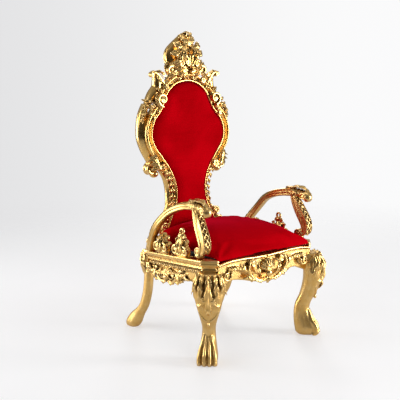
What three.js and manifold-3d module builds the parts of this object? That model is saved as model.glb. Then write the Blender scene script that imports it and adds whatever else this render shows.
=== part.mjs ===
// A carved and gilded throne with a velvet seat and a tall violin-shaped velvet back.
// Millimetres, +Z up, the sitter faces -Y, "left" is the -X side.
// Every carved piece is a union of lofts, sweeps, leaves, volutes and bosses.

import * as THREE from 'three';
import { mergeVertices } from 'three/addons/utils/BufferGeometryUtils.js';
import Module from 'manifold-3d';

const wasm = await Module();
wasm.setup();

// ---------------------------------------------------------------- driving dimensions

const GAP = 0.4;                  // clearance between pieces that touch
const TAU = 2 * Math.PI;
const CENTRE_Y = 23;              // middle of the whole depth, moved to y = 0

const SEAT = {
  frontX: 366, frontY: -334,      // outer faces of the front corner blocks
  rearX: 316, rearY: 268,         // outer faces of the rear posts
  topFront: 500, topRear: 452,    // top of the rails, which fall towards the back
  blockLong: 56, chamfer: 47,     // corner block and its 45 degree face
  railThick: 44, railSet: 6,      // the rail's thickness and how far it is set back
};
const REAR_POST = { inX: 264, frontY: 214 };
const CORNER = { x: 343, y: -311 };       // middle of the chamfered face

const BACK = {
  footY: 231, footZ: 500, rake: 3.78 * Math.PI / 180,
  mouldWide: 44, padDeep: 28, coverDeep: 16, steps: 48,
};
// Half of the panel's outline, from the seat up to the crown of the arch.
const PANEL = [
  [176, 8], [142, 88], [106, 160], [95, 250], [122, 340], [180, 425], [227, 490],
  [240, 545], [224, 605], [172, 668], [150, 712], [122, 760], [70, 799], [0, 813],
];

const LEG = {
  sway: 8,                        // how far the foot stands outside the diagonal
  // height, outward centre, half depth, half width across the diagonal
  stations: [
    [0, -10, 44, 38], [12, -10, 56, 46], [34, -12, 60, 49], [66, -22, 55, 43], [99, -32, 46, 37],
    [131, -39, 38, 33], [169, -33, 37, 32], [208, -15, 38, 38], [255, 2, 42, 50],
    [300, 12, 45, 61], [345, 14, 47, 70], [385, 8, 46, 72], [418, -6, 42, 60], [442, -12, 38, 48],
  ],
};
const REAR_LEG = {
  x: 288,
  // height, centre y, half depth, half width
  stations: [
    [0, 394, 36, 28], [12, 390, 44, 33], [30, 380, 48, 34], [55, 364, 47, 31], [82, 342, 42, 27],
    [108, 314, 34, 25], [140, 287, 27, 24], [215, 257, 26, 22], [300, 243, 25, 22], [372, 241, 24, 22],
  ],
};

// Triangles that each carved piece keeps before it is cut to fit its neighbours.
const BUDGET = {
  frontLeg: 700, rearLeg: 190, frontRail: 900, sideRail: 440, backFrame: 1950, crest: 900,
  arm: 460, armShell: 150, armFleuron: 190,
};

const ARM = {
  // along y, outwards from the middle line of the rail, height: from the rear foot to the hand-hold
  path: [[200, 8, 462], [174, 16, 512], [140, 26, 560], [99, 30, 608], [58, 24, 648], [12, 12, 686],
    [-40, 0, 712], [-95, -6, 729], [-150, -5, 739], [-206, -1, 744]],
  wide: 19, high: 19,
  support: [[-205, -2, 722], [-222, 0, 680], [-248, 4, 640], [-272, 6, 600], [-282, 6, 566],
    [-272, 4, 538], [-246, 2, 521]],
};

// ---------------------------------------------------------------- colours

const finish = (color, roughness, metalness) =>
  new THREE.MeshStandardMaterial({ color, roughness, metalness });
const polishedGold = () => finish(0xe0b04e, 0.22, 1);
const satinGold = () => finish(0xd0a050, 0.38, 1);
const velvet = () => finish(0xa00514, 0.8, 0);
const blackCloth = () => finish(0x1b1718, 0.9, 0);

// ---------------------------------------------------------------- meshes and solids

const at = (x, y, z) => new THREE.Vector3(x, y, z);

function meshOf(points, faces) {
  let volume = 0;
  for (let i = 0; i < faces.length; i += 3) {
    const [a, b, c] = [points[faces[i]], points[faces[i + 1]], points[faces[i + 2]]];
    volume += a.dot(b.clone().cross(c));
  }
  const turned = volume < 0 ? faces.slice().reverse() : faces;
  const geometry = new THREE.BufferGeometry();
  geometry.setAttribute('position', new THREE.Float32BufferAttribute(points.flatMap((p) => [p.x, p.y, p.z]), 3));
  geometry.setIndex(turned);
  return geometry;
}

function loft(rings) {
  const n = rings[0].length;
  const last = (rings.length - 1) * n;
  const faces = [];
  for (let i = 0; i < rings.length - 1; i++) {
    for (let j = 0; j < n; j++) {
      const a = i * n + j;
      const b = i * n + (j + 1) % n;
      faces.push(a, b, a + n, b, b + n, a + n);
    }
  }
  for (let j = 1; j < n - 1; j++) {
    faces.push(0, j + 1, j, last, last + j, last + j + 1);
  }
  return meshOf(rings.flat(), faces);
}

function solid(geometry) {
  const bare = geometry.clone();
  bare.deleteAttribute('normal');
  bare.deleteAttribute('uv');
  const merged = mergeVertices(bare, 1e-3);
  return new wasm.Manifold(new wasm.Mesh({
    numProp: 3,
    vertProperties: new Float32Array(merged.attributes.position.array),
    triVerts: new Uint32Array(merged.index.array),
  }));
}

function geometryOf(manifold) {
  const made = manifold.getMesh();
  const geometry = new THREE.BufferGeometry();
  geometry.setAttribute('position', new THREE.BufferAttribute(made.vertProperties, 3));
  geometry.setIndex(new THREE.BufferAttribute(made.triVerts, 1));
  return geometry;
}

const join = (parts) => parts.map(solid).reduce((sum, part) => sum.add(part));

// ---------------------------------------------------------------- thinning

// The squared distance to a triangle's plane, as the ten terms of a symmetric 4 x 4 form.
function planeTerms(a, b, c) {
  const normal = b.clone().sub(a).cross(c.clone().sub(a));
  const area = normal.length();
  if (area < 1e-9) return new Array(10).fill(0);
  normal.divideScalar(area);
  const plane = [normal.x, normal.y, normal.z, -normal.dot(a)];
  const terms = [];
  for (let i = 0; i < 4; i++) {
    for (let j = i; j < 4; j++) terms.push(plane[i] * plane[j] * area);
  }
  return terms;
}

function distanceTo(terms, p) {
  const [xx, xy, xz, xw, yy, yz, yw, zz, zw, ww] = terms;
  return p.x * (p.x * xx + 2 * (p.y * xy + p.z * xz + xw))
    + p.y * (p.y * yy + 2 * (p.z * yz + yw)) + p.z * (p.z * zz + 2 * zw) + ww;
}

// Merges the ends of the flattest and shortest edges until the mesh has `target` triangles.
// An edge is kept where merging it would open the surface or turn a triangle over.
function thinned(geometry, target) {
  const array = geometry.attributes.position.array;
  const points = Array.from({ length: array.length / 3 }, (_, i) => at(array[3 * i], array[3 * i + 1], array[3 * i + 2]));
  let triangles = Array.from({ length: geometry.index.count / 3 }, (_, i) =>
    [0, 1, 2].map((k) => geometry.index.array[3 * i + k]));
  const terms = points.map(() => new Array(10).fill(0));
  for (const t of triangles) {
    const more = planeTerms(...t.map((i) => points[i]));
    for (const i of t) more.forEach((value, k) => { terms[i][k] += value; });
  }
  const normalOf = (a, b, c) => b.clone().sub(a).cross(c.clone().sub(a));
  for (let pass = 0; pass < 60 && triangles.length > target; pass++) {
    const stars = points.map(() => []);
    triangles.forEach((t) => t.forEach((i) => stars[i].push(t)));
    const edges = [];
    for (const t of triangles) {
      for (let k = 0; k < 3; k++) {
        const [a, b] = [t[k], t[(k + 1) % 3]];
        if (a > b) continue;
        const sum = terms[a].map((value, i) => value + terms[b][i]);
        const middle = points[a].clone().add(points[b]).multiplyScalar(0.5);
        const spots = [middle, points[a], points[b]];
        const costs = spots.map((p) => distanceTo(sum, p));
        const best = costs.indexOf(Math.min(...costs));
        edges.push({ a, b, sum, spot: spots[best].clone(), cost: costs[best] + 0.02 * points[a].distanceToSquared(points[b]) });
      }
    }
    edges.sort((p, q) => p.cost - q.cost);
    const touched = new Set();
    const gone = new Set();
    const most = Math.ceil((triangles.length - target) / 2);
    let merged = 0;
    for (const { a, b, sum, spot } of edges.slice(0, Math.ceil(edges.length / 4))) {
      if (merged >= most) break;
      const around = (i) => new Set(stars[i].flat().filter((v) => v !== i));
      const [ringA, ringB] = [around(a), around(b)];
      if ([a, b, ...ringA, ...ringB].some((v) => touched.has(v))) continue;
      if ([...ringA].filter((v) => ringB.has(v)).length !== 2) continue;
      const kept = [...stars[a], ...stars[b]].filter((t) => !(t.includes(a) && t.includes(b)));
      const turnsOver = kept.some((t) => {
        const before = normalOf(...t.map((i) => points[i]));
        const after = normalOf(...t.map((i) => (i === a || i === b ? spot : points[i])));
        return after.length() < 0.05 || before.length() > 0.05 && before.dot(after) < 0.35 * before.length() * after.length();
      });
      if (turnsOver) continue;
      for (const t of stars[a]) if (t.includes(b)) gone.add(t);
      for (const t of stars[b]) {
        if (!gone.has(t)) t[t.indexOf(b)] = a;
      }
      points[a].copy(spot);
      terms[a] = sum;
      [a, b, ...ringA, ...ringB].forEach((v) => touched.add(v));
      merged++;
    }
    triangles = triangles.filter((t) => !gone.has(t));
    if (merged === 0) break;
  }
  const used = [...new Set(triangles.flat())];
  const number = new Map(used.map((i, k) => [i, k]));
  return meshOf(used.map((i) => points[i]), triangles.flat().map((i) => number.get(i)));
}

// Joins the parts of one carved piece and thins the result.
const carve = (parts, target) => solid(thinned(geometryOf(join(parts)), target));

const turned = (geometry, matrix) => geometry.clone().applyMatrix4(matrix);

function box(x0, x1, y0, y1, z0, z1) {
  const geometry = new THREE.BoxGeometry(x1 - x0, y1 - y0, z1 - z0);
  return geometry.translate((x0 + x1) / 2, (y0 + y1) / 2, (z0 + z1) / 2);
}

function mirrored(geometry) {
  const copy = geometry.clone();
  copy.applyMatrix4(new THREE.Matrix4().makeScale(-1, 1, 1));
  copy.setIndex(Array.from(copy.index.array).reverse());
  return copy;
}

// ---------------------------------------------------------------- carving vocabulary

const round = (n, start = 0) =>
  Array.from({ length: n }, (_, i) => [Math.cos(start + TAU * i / n), Math.sin(start + TAU * i / n)]);

const smooth = (points, closed = false) =>
  new THREE.CatmullRomCurve3(points.map((p) => at(...p)), closed, 'centripetal');

// Sweeps a section along a curve. side is the direction of the section's first number.
function sweep(curve, side, section, steps, size) {
  const rings = [];
  for (let i = 0; i <= steps; i++) {
    const t = i / steps;
    const middle = curve.getPoint(t);
    const across = side.clone();
    const up = curve.getTangent(t).cross(across).normalize();
    const [wide, high] = size(t);
    rings.push(section.map(([a, b]) =>
      middle.clone().addScaledVector(across, a * wide).addScaledVector(up, b * high)));
  }
  return loft(rings);
}

class VoluteCurve extends THREE.Curve {
  constructor(centre, ex, ey, start, turns, outer, inner) {
    super();
    Object.assign(this, { centre, ex, ey, start, turns, outer, inner });
  }

  getPoint(t, target = at(0, 0, 0)) {
    const angle = this.start + this.turns * TAU * t;
    const radius = this.outer * (this.inner / this.outer) ** t;
    return target.copy(this.centre)
      .addScaledVector(this.ex, radius * Math.cos(angle))
      .addScaledVector(this.ey, radius * Math.sin(angle));
  }
}

// A scroll that winds in to an eye. (ex, ey) is its plane.
function volute(centre, ex, ey, start, turns, outer, thick, wide, steps = 12) {
  const curve = new VoluteCurve(centre, ex, ey, start, turns, outer, outer * 0.3);
  const side = ex.clone().cross(ey);
  const size = (t) => [wide * (1 - 0.35 * t), thick * (1 - 0.55 * t)];
  return sweep(curve, side, round(6), steps, size);
}

function boss(x, y, z, rx, ry, rz, across = 8, down = 6) {
  const ball = new THREE.SphereGeometry(1, across, down).scale(rx, ry, rz);
  return ball.translate(x, y, z);
}

// An acanthus leaf: a ridged blade with a lobed edge, laid along a curve.
function leaf(points, side, width, thick, lobes = 3, steps = 6) {
  const blade = [[-1, -0.25], [-0.45, 0.25], [0, 1], [0.45, 0.25], [1, -0.25], [0, -0.8]];
  const size = (t) => {
    const swell = Math.sin(Math.PI * (0.14 + 0.83 * t)) ** 0.8;
    const lobe = 1 + 0.16 * Math.cos(TAU * lobes * t);
    return [Math.max(width * swell * lobe, 1.2), Math.max(thick * (1 - 0.6 * t), 1)];
  };
  return sweep(smooth(points), side, blade, steps, size);
}

// A scallop: ribs fan out from the hinge. (ex, ey) is its plane and out its bulge.
function scallop(centre, ex, ey, radiusX, radiusY, bulge, ribs, spread = 0.8) {
  const out = ex.clone().cross(ey).normalize();
  const columns = ribs * 2;
  const fan = (share, lift) => Array.from({ length: columns + 1 }, (_, i) => {
    const angle = Math.PI / 2 + spread * Math.PI * (0.5 - i / columns);
    const rib = i % 2 ? 1 : 0.86;
    return centre.clone().addScaledVector(ex, share * radiusX * Math.cos(angle) * rib)
      .addScaledVector(ey, share * radiusY * Math.sin(angle) * rib)
      .addScaledVector(out, lift * (i % 2 ? 1 : 0.6));
  });
  const rows = [fan(0.12, 0.5 * bulge), fan(0.55, bulge), fan(1, 0.35 * bulge)];
  const back = rows.map((row) => row.map((p) => {
    const depth = p.clone().sub(centre).dot(out);
    return p.clone().addScaledVector(out, -depth - 0.35 * bulge);
  }));
  const rings = rows[0].map((_, i) => [rows[0][i], rows[1][i], rows[2][i], back[2][i], back[0][i]]);
  return loft(rings);
}

// ---------------------------------------------------------------- legs

const legSway = (z) => -LEG.sway * Math.max(0, 1 - z / 280);

const legRing = (n, z, centre, deep, wide) => round(n, TAU / (2 * n)).map(([c, s]) => {
  const square = 1 + 0.12 * Math.abs(Math.sin(2 * Math.atan2(s, c)));
  return at(legSway(z) + wide * c * square, -centre - deep * s * square, z);
});

// Front leg in its own frame: -Y points out along the diagonal, X runs across it.
function frontLegSolid() {
  const parts = [loft(LEG.stations.map(([z, centre, deep, wide]) => legRing(12, z, centre, deep, wide)))];
  for (const toe of [-1.5, -0.5, 0.5, 1.5]) {
    const reach = Math.abs(toe) > 1 ? 30 : 36;
    parts.push(boss(legSway(26) + 24 * toe, -reach, 26, 13, 26, 24));
    parts.push(boss(legSway(62) + 23 * toe, -reach + 14, 62, 10, 18, 26));
  }
  const side = at(1, 0, 0);
  parts.push(leaf([[0, -56, 398], [0, -74, 350], [0, -66, 296], [0, -40, 240], [0, -22, 196]], side, 34, 14, 4, 7));
  for (const hand of [-1, 1]) {
    const tilt = at(1, hand * 0.9, 0).normalize();
    parts.push(leaf([[hand * 34, -50, 392], [hand * 50, -50, 350], [hand * 52, -36, 300],
      [hand * 38, -28, 252]], tilt, 22, 11, 3, 5));
    parts.push(volute(at(hand * 21, -60, 384), at(1, 0, 0), at(0, 0, 1),
      Math.PI / 2, hand * 1.1, 15, 7, 12, 8));
    parts.push(leaf([[hand * 52, -14, 424], [hand * 70, -10, 392], [hand * 72, -6, 360],
      [hand * 78, -6, 336]], at(0, 1, 0), 24, 9, 2, 4));
  }
  parts.push(boss(0, -76, 330, 14, 20, 26));
  parts.push(boss(0, -88, 302, 13, 14, 15));
  parts.push(boss(0, -66, 268, 9, 11, 14));
  return carve(parts, BUDGET.frontLeg);
}

// The post above the knee: a chamfered block with a plain cap moulding.
function cornerBlock() {
  const block = (grow, z0, z1) => {
    const [x, y, c] = [SEAT.frontX + grow, SEAT.frontY - grow, SEAT.chamfer];
    const inX = SEAT.frontX - SEAT.blockLong;
    const inY = SEAT.frontY + SEAT.blockLong;
    const plan = [[x, y + c], [x, inY], [inX, inY], [inX, y], [x - c, y]];
    return loft([z0, z1].map((z) => plan.map(([px, py]) => at(-px, py, z))));
  };
  return [block(-6, 420, 500), block(-1, 452, 500), block(4, 474, 500)];
}

function makeFrontLeg() {
  const place = new THREE.Matrix4().makeTranslation(-CORNER.x, CORNER.y, 0)
    .multiply(new THREE.Matrix4().makeRotationZ(-Math.PI / 4));
  const leg = turned(geometryOf(frontLegSolid()), place);
  let body = join([leg, ...cornerBlock()]);
  const inX = SEAT.frontX - SEAT.blockLong;
  const inY = SEAT.frontY + SEAT.blockLong;
  // The knee's ears lie in front of the rails, which are cut back to clear them.
  body = body.subtract(solid(box(-inX, 0, SEAT.frontY + SEAT.railSet - GAP, 0, 300, 520)));
  body = body.subtract(solid(box(-SEAT.frontX - 9, 0, inY, 0, 300, 520)));
  return geometryOf(body);
}

function makeRearLeg() {
  const ring = ([z, y, deep, wide]) => round(12, TAU / 24).map(([c, s]) => {
    const square = 1 + 0.12 * Math.abs(Math.sin(2 * Math.atan2(s, c)));
    return at(-REAR_LEG.x + wide * c * square, y + deep * s * square, z);
  });
  const top = box(-SEAT.rearX, -REAR_POST.inX, REAR_POST.frontY, SEAT.rearY, 360, SEAT.topRear);
  const tuft = leaf([[-290, 258, 440], [-296, 288, 420], [-296, 296, 380], [-292, 276, 330]],
    at(1, 0, 0), 22, 9, 3, 5);
  const leg = solid(thinned(loft(REAR_LEG.stations.map(ring)), BUDGET.rearLeg));
  return geometryOf(leg.add(solid(top)).add(solid(tuft)));
}

// ---------------------------------------------------------------- rails

// The board with an arched lower edge, in a frame where X runs along it and -Y is its face.
function arched(edge, top, thick) {
  const shape = new THREE.Shape();
  const lower = new THREE.SplineCurve(edge.map(([x, z]) => new THREE.Vector2(x, z))).getPoints(edge.length * 2);
  const upper = new THREE.SplineCurve(top.map(([x, z]) => new THREE.Vector2(x, z))).getPoints(top.length);
  shape.setFromPoints([...lower, ...upper]);
  const board = new THREE.ExtrudeGeometry(shape, { depth: thick, bevelEnabled: false, curveSegments: 1 });
  return board.rotateX(Math.PI / 2).translate(0, thick, 0);
}

// A leaf that lies on a face looking -Y, its blade parallel to the face.
function layLeaf(points, width, thick, lobes = 3, steps = 5) {
  const curve = smooth(points);
  const way = curve.getTangent(0.5);
  const side = at(way.z, 0, -way.x).normalize();
  return leaf(points, side, width, thick, lobes, steps);
}

const KNEE_IN = 281;              // how near the middle line the front knees reach

function makeFrontRail() {
  const end = SEAT.frontX - SEAT.blockLong - GAP;
  const face = SEAT.frontY + SEAT.railSet;
  const half = [[end, 350], [262, 368], [215, 382], [150, 376], [80, 362]];
  const edge = [...half.map(([x, z]) => [-x, z]), [0, 354], ...half.slice().reverse()];
  const top = [[end, 480], [190, 494], [0, 486], [-190, 494], [-end, 480]];
  const board = arched(edge, top, SEAT.railThick).translate(0, face, 0);
  const shelf = box(-250, 250, face - 6, face + 20, 468, 486);
  const parts = [board, shelf];
  const skin = face - 2;
  for (const hand of [-1, 1]) {
    const arc = (points) => smooth(points.map(([x, z, y]) => [hand * x, y, z]));
    // C-scrolls along the arches, a long one by the leg and a short one by the centre.
    parts.push(sweep(arc([[268, 372, skin], [262, 410, skin - 6], [236, 440, skin - 8],
      [200, 446, skin - 8], [160, 428, skin - 8], [128, 404, skin - 6]]), at(0, 1, 0), round(6), 12,
    (t) => [14 - 4 * t, 9 - 3 * t]));
    parts.push(volute(at(hand * 247, skin - 6, 388), at(hand, 0, 0), at(0, 0, 1), 0, 1.1, 21, 8, 13, 9));
    parts.push(layLeaf([[hand * 236, skin - 4, 452], [hand * 180, skin - 12, 468],
      [hand * 120, skin - 8, 462]], 17, 9, 4, 5));
    parts.push(layLeaf([[hand * 60, skin - 10, 378], [hand * 96, skin - 16, 384],
      [hand * 134, skin - 8, 372]], 20, 10, 3, 5));
    parts.push(layLeaf([[hand * 66, skin - 8, 470], [hand * 92, skin - 16, 440],
      [hand * 130, skin - 8, 424]], 18, 10, 3, 5));
    parts.push(sweep(arc([[112, 474, skin - 6], [122, 440, skin - 12], [100, 400, skin - 14],
      [56, 374, skin - 14], [8, 366, skin - 12]]), at(0, 1, 0), round(6), 10, (t) => [13, 8 + 3 * t]));
  }
  parts.push(scallop(at(0, skin, 400), at(1, 0, 0), at(0, 0, 1), 62, 74, 26, 5));
  parts.push(boss(0, skin - 16, 384, 26, 18, 20));
  parts.push(layLeaf([[0, skin - 14, 376], [0, skin - 22, 362], [0, skin - 12, 346]], 20, 10, 2, 4));
  // The carving stops short of the ends, where the knees' ears lap over the rail.
  const room = solid(box(-end, end, face, 0, 200, 600)).add(solid(box(-KNEE_IN, KNEE_IN, -500, 0, 200, 600)));
  return geometryOf(carve(parts, BUDGET.frontRail).intersect(room));
}

// Side rail in its own frame: X runs to the rear post, -Y is the outer face, Z is up.
const SIDE = (() => {
  const from = at(-SEAT.frontX, SEAT.frontY + SEAT.blockLong + GAP, SEAT.topFront);
  const to = at(-SEAT.rearX, REAR_POST.frontY - GAP, SEAT.topRear);
  const run = Math.hypot(to.x - from.x, to.y - from.y);
  return { from, to, run, yaw: Math.atan2(to.x - from.x, to.y - from.y), fall: (to.z - from.z) / run };
})();

function sideFrame() {
  // A shear, not a tilt, so that the ends stay upright against their posts.
  const place = new THREE.Matrix4().makeTranslation(SIDE.from.x, SIDE.from.y, SIDE.from.z);
  place.multiply(new THREE.Matrix4().makeRotationZ(-Math.PI / 2 - SIDE.yaw));
  place.multiply(new THREE.Matrix4().makeScale(-1, 1, 1));
  const shear = new THREE.Matrix4().set(1, 0, 0, 0, 0, 1, 0, 0, SIDE.fall, 0, 1, 0, 0, 0, 0, 1);
  return place.multiply(shear);
}

function makeSideRail() {
  const run = SIDE.run;
  const spare = 20;
  const edge = [[-spare, -90], [70, -118], [130, -112], [200, -134], [280, -146], [350, -146], [420, -122],
    [run + spare, -100]];
  const board = arched(edge, [[run + spare, -2], [run / 2, -2], [-spare, -2]], SEAT.railThick).translate(0, 8, 0);
  const cornice = new THREE.Shape([[6, -46], [0, -40], [2, -26], [-5, -20], [-7, -4], [-3, 0], [56, 0], [56, -14], [30, -46]]
    .map(([y, z]) => new THREE.Vector2(y, z)));
  const cap = new THREE.ExtrudeGeometry(cornice, { depth: run + 2 * spare, bevelEnabled: false });
  cap.translate(0, 0, -spare).applyMatrix4(new THREE.Matrix4().set(0, 0, 1, 0, 1, 0, 0, 0, 0, 1, 0, 0, 0, 0, 0, 1));
  const parts = [board, cap];
  const middle = 312;
  parts.push(scallop(at(middle, 6, -112), at(1, 0, 0), at(0, 0, 1), 74, 56, 24, 5));
  for (const hand of [-1, 1]) {
    parts.push(layLeaf([[middle + hand * 40, 0, -96], [middle + hand * 90, -10, -82],
      [middle + hand * 140, 0, -92]], 20, 10, 3, 5));
    parts.push(layLeaf([[middle + hand * 10, -4, -120], [middle + hand * 56, -12, -134],
      [middle + hand * 100, 0, -122]], 17, 10, 3, 5));
    parts.push(volute(at(middle + hand * 52, -2, -112), at(hand, 0, 0), at(0, 0, 1), 0.5, 1.1, 17, 7, 13, 9));
  }
  parts.push(boss(middle, -6, -124, 30, 18, 18));
  const rope = smooth([[-spare, 2, -52], [run / 2, 2, -56], [run + spare, 2, -52]]);
  parts.push(sweep(rope, at(0, 1, 0), round(5), 16, (t) => [9, 6 + 1.5 * Math.cos(TAU * 8 * t)]));
  const placed = turned(geometryOf(carve(parts, BUDGET.sideRail)), sideFrame());
  placed.setIndex(Array.from(placed.index.array).reverse());
  return geometryOf(solid(placed).intersect(solid(box(-500, 0, SIDE.from.y, SIDE.to.y, 200, 600))));
}

function makeRearRail() {
  const half = REAR_POST.inX - GAP;
  const edge = [[-half, 368], [-150, 390], [0, 384], [150, 390], [half, 368]];
  const top = [[half, SEAT.topRear - 1], [0, SEAT.topRear - 1], [-half, SEAT.topRear - 1]];
  return arched(edge, top, SEAT.railThick).translate(0, REAR_POST.frontY + 4, 0);
}

// ---------------------------------------------------------------- seat

const seatHalf = (y) => {
  const t = (y - SEAT.frontY) / (SEAT.rearY - SEAT.frontY);
  return THREE.MathUtils.lerp(SEAT.frontX, SEAT.rearX, t);
};

function makeSeatBoard() {
  const inset = SEAT.railThick + 20;
  const [front, rear] = [SEAT.frontY + 80, REAR_POST.frontY + 2];
  const plan = [[-seatHalf(front) + inset, front], [seatHalf(front) - inset, front],
    [seatHalf(rear) - inset, rear], [-seatHalf(rear) + inset, rear]];
  return loft([424, 438].map((z) => plan.map(([x, y]) => at(x, y, z))));
}

// The cushion's solid: it swells from the front edge to the middle and is flat below.
function makeCushion() {
  const [front, rear] = [SEAT.frontY - 2, 199];
  const [bottom, edge, rise] = [501, 515, 78];
  const rows = 7;
  const columns = 10;
  const surface = (i, j) => {
    const u = -Math.cos(Math.PI * i / columns);
    const v = (1 - Math.cos(Math.PI * j / rows)) / 2;
    const y = THREE.MathUtils.lerp(front, rear, v);
    const along = (1 - (1 - Math.min(v / 0.6, 1)) ** 2) * (1 - 0.55 * v ** 14);
    const across = (1 - 0.3 * Math.abs(u) ** 4) * (1 - 0.7 * Math.abs(u) ** 24);
    return at(u * (seatHalf(y) - 57), y, edge + rise * along * across);
  };
  const points = [];
  const faces = [];
  for (let j = 0; j <= rows; j++) {
    for (let i = 0; i <= columns; i++) points.push(surface(i, j));
  }
  const base = points.length;
  for (let j = 0; j <= rows; j++) {
    for (let i = 0; i <= columns; i++) {
      const p = points[j * (columns + 1) + i];
      points.push(at(p.x, p.y, bottom));
    }
  }
  const id = (i, j) => j * (columns + 1) + i;
  for (let j = 0; j < rows; j++) {
    for (let i = 0; i < columns; i++) {
      const [a, b, c, d] = [id(i, j), id(i + 1, j), id(i + 1, j + 1), id(i, j + 1)];
      faces.push(a, b, c, a, c, d, base + a, base + c, base + b, base + a, base + d, base + c);
    }
  }
  const rim = [];
  for (let i = 0; i < columns; i++) rim.push(id(i, 0));
  for (let j = 0; j < rows; j++) rim.push(id(columns, j));
  for (let i = columns; i > 0; i--) rim.push(id(i, rows));
  for (let j = rows; j > 0; j--) rim.push(id(0, j));
  rim.forEach((a, k) => {
    const b = rim[(k + 1) % rim.length];
    faces.push(a, base + a, b, b, base + a, base + b);
  });
  return meshOf(points, faces);
}

// ---------------------------------------------------------------- back (X across, Y through, Z up its slope)

const backCurve = smooth([...PANEL.map(([x, z]) => [-x, 0, z]), ...PANEL.slice(0, -1).reverse().map(([x, z]) => [x, 0, z])]);

function edgePoint(t, outwards) {
  const p = backCurve.getPoint(t);
  const way = backCurve.getTangent(t);
  return at(p.x - way.z * outwards, 0, p.z + way.x * outwards);
}

function panelSolid(inset, y0, y1, steps, crown = 0) {
  const outline = (more) => Array.from({ length: steps + 1 }, (_, i) => edgePoint(i / steps, -inset - more));
  const layer = (y, more) => outline(more).map((p) => at(p.x, y, Math.max(p.z, PANEL[0][1] + inset)));
  const rings = [layer(y1, 0), layer(y0, 0)];
  if (crown) rings.push(layer(y0 - crown, 26));
  return rings;
}

// A closed slab between rings of one outline, its end faces triangulated by THREE.ShapeUtils.
function slab(rings) {
  const n = rings[0].length;
  const faces = [];
  for (let k = 0; k < rings.length - 1; k++) {
    for (let j = 0; j < n; j++) {
      const a = k * n + j;
      const b = k * n + (j + 1) % n;
      faces.push(a, a + n, b, b, a + n, b + n);
    }
  }
  const cap = (ring, offset, flip) => {
    const flat = ring.map((p) => new THREE.Vector2(p.x, p.z));
    for (const [a, b, c] of THREE.ShapeUtils.triangulateShape(flat, [])) {
      faces.push(offset + a, offset + (flip ? c : b), offset + (flip ? b : c));
    }
  };
  const clockwise = THREE.ShapeUtils.isClockWise(rings[0].map((p) => new THREE.Vector2(p.x, p.z)));
  cap(rings[0], 0, clockwise);
  cap(rings[rings.length - 1], (rings.length - 1) * n, !clockwise);
  return meshOf(rings.flat(), faces);
}

const makeBackPad = () => slab(panelSolid(1, -2, BACK.padDeep, BACK.steps, 20));
const makeBackCover = () => slab(panelSolid(1, BACK.padDeep + GAP, BACK.padDeep + BACK.coverDeep, BACK.steps));

function backMoulding(steps) {
  const w = BACK.mouldWide;
  const profile = [[0, 38], [0, -4], [6, -12], [13, -6], [26, -3], [34, -14], [w - 2, -8], [w, 38]];
  // Down the waist the moulding's outer edge falls back.
  const fall = (z) => 40 * THREE.MathUtils.smoothstep(-z, -500, -330);
  const rings = Array.from({ length: steps + 1 }, (_, i) => profile.map(([out, y]) => {
    const p = edgePoint(i / steps, out);
    return at(p.x, Math.min(y + fall(p.z) * out / w, y < 38 ? 35 : 38), p.z);
  }));
  return loft(rings);
}

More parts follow.
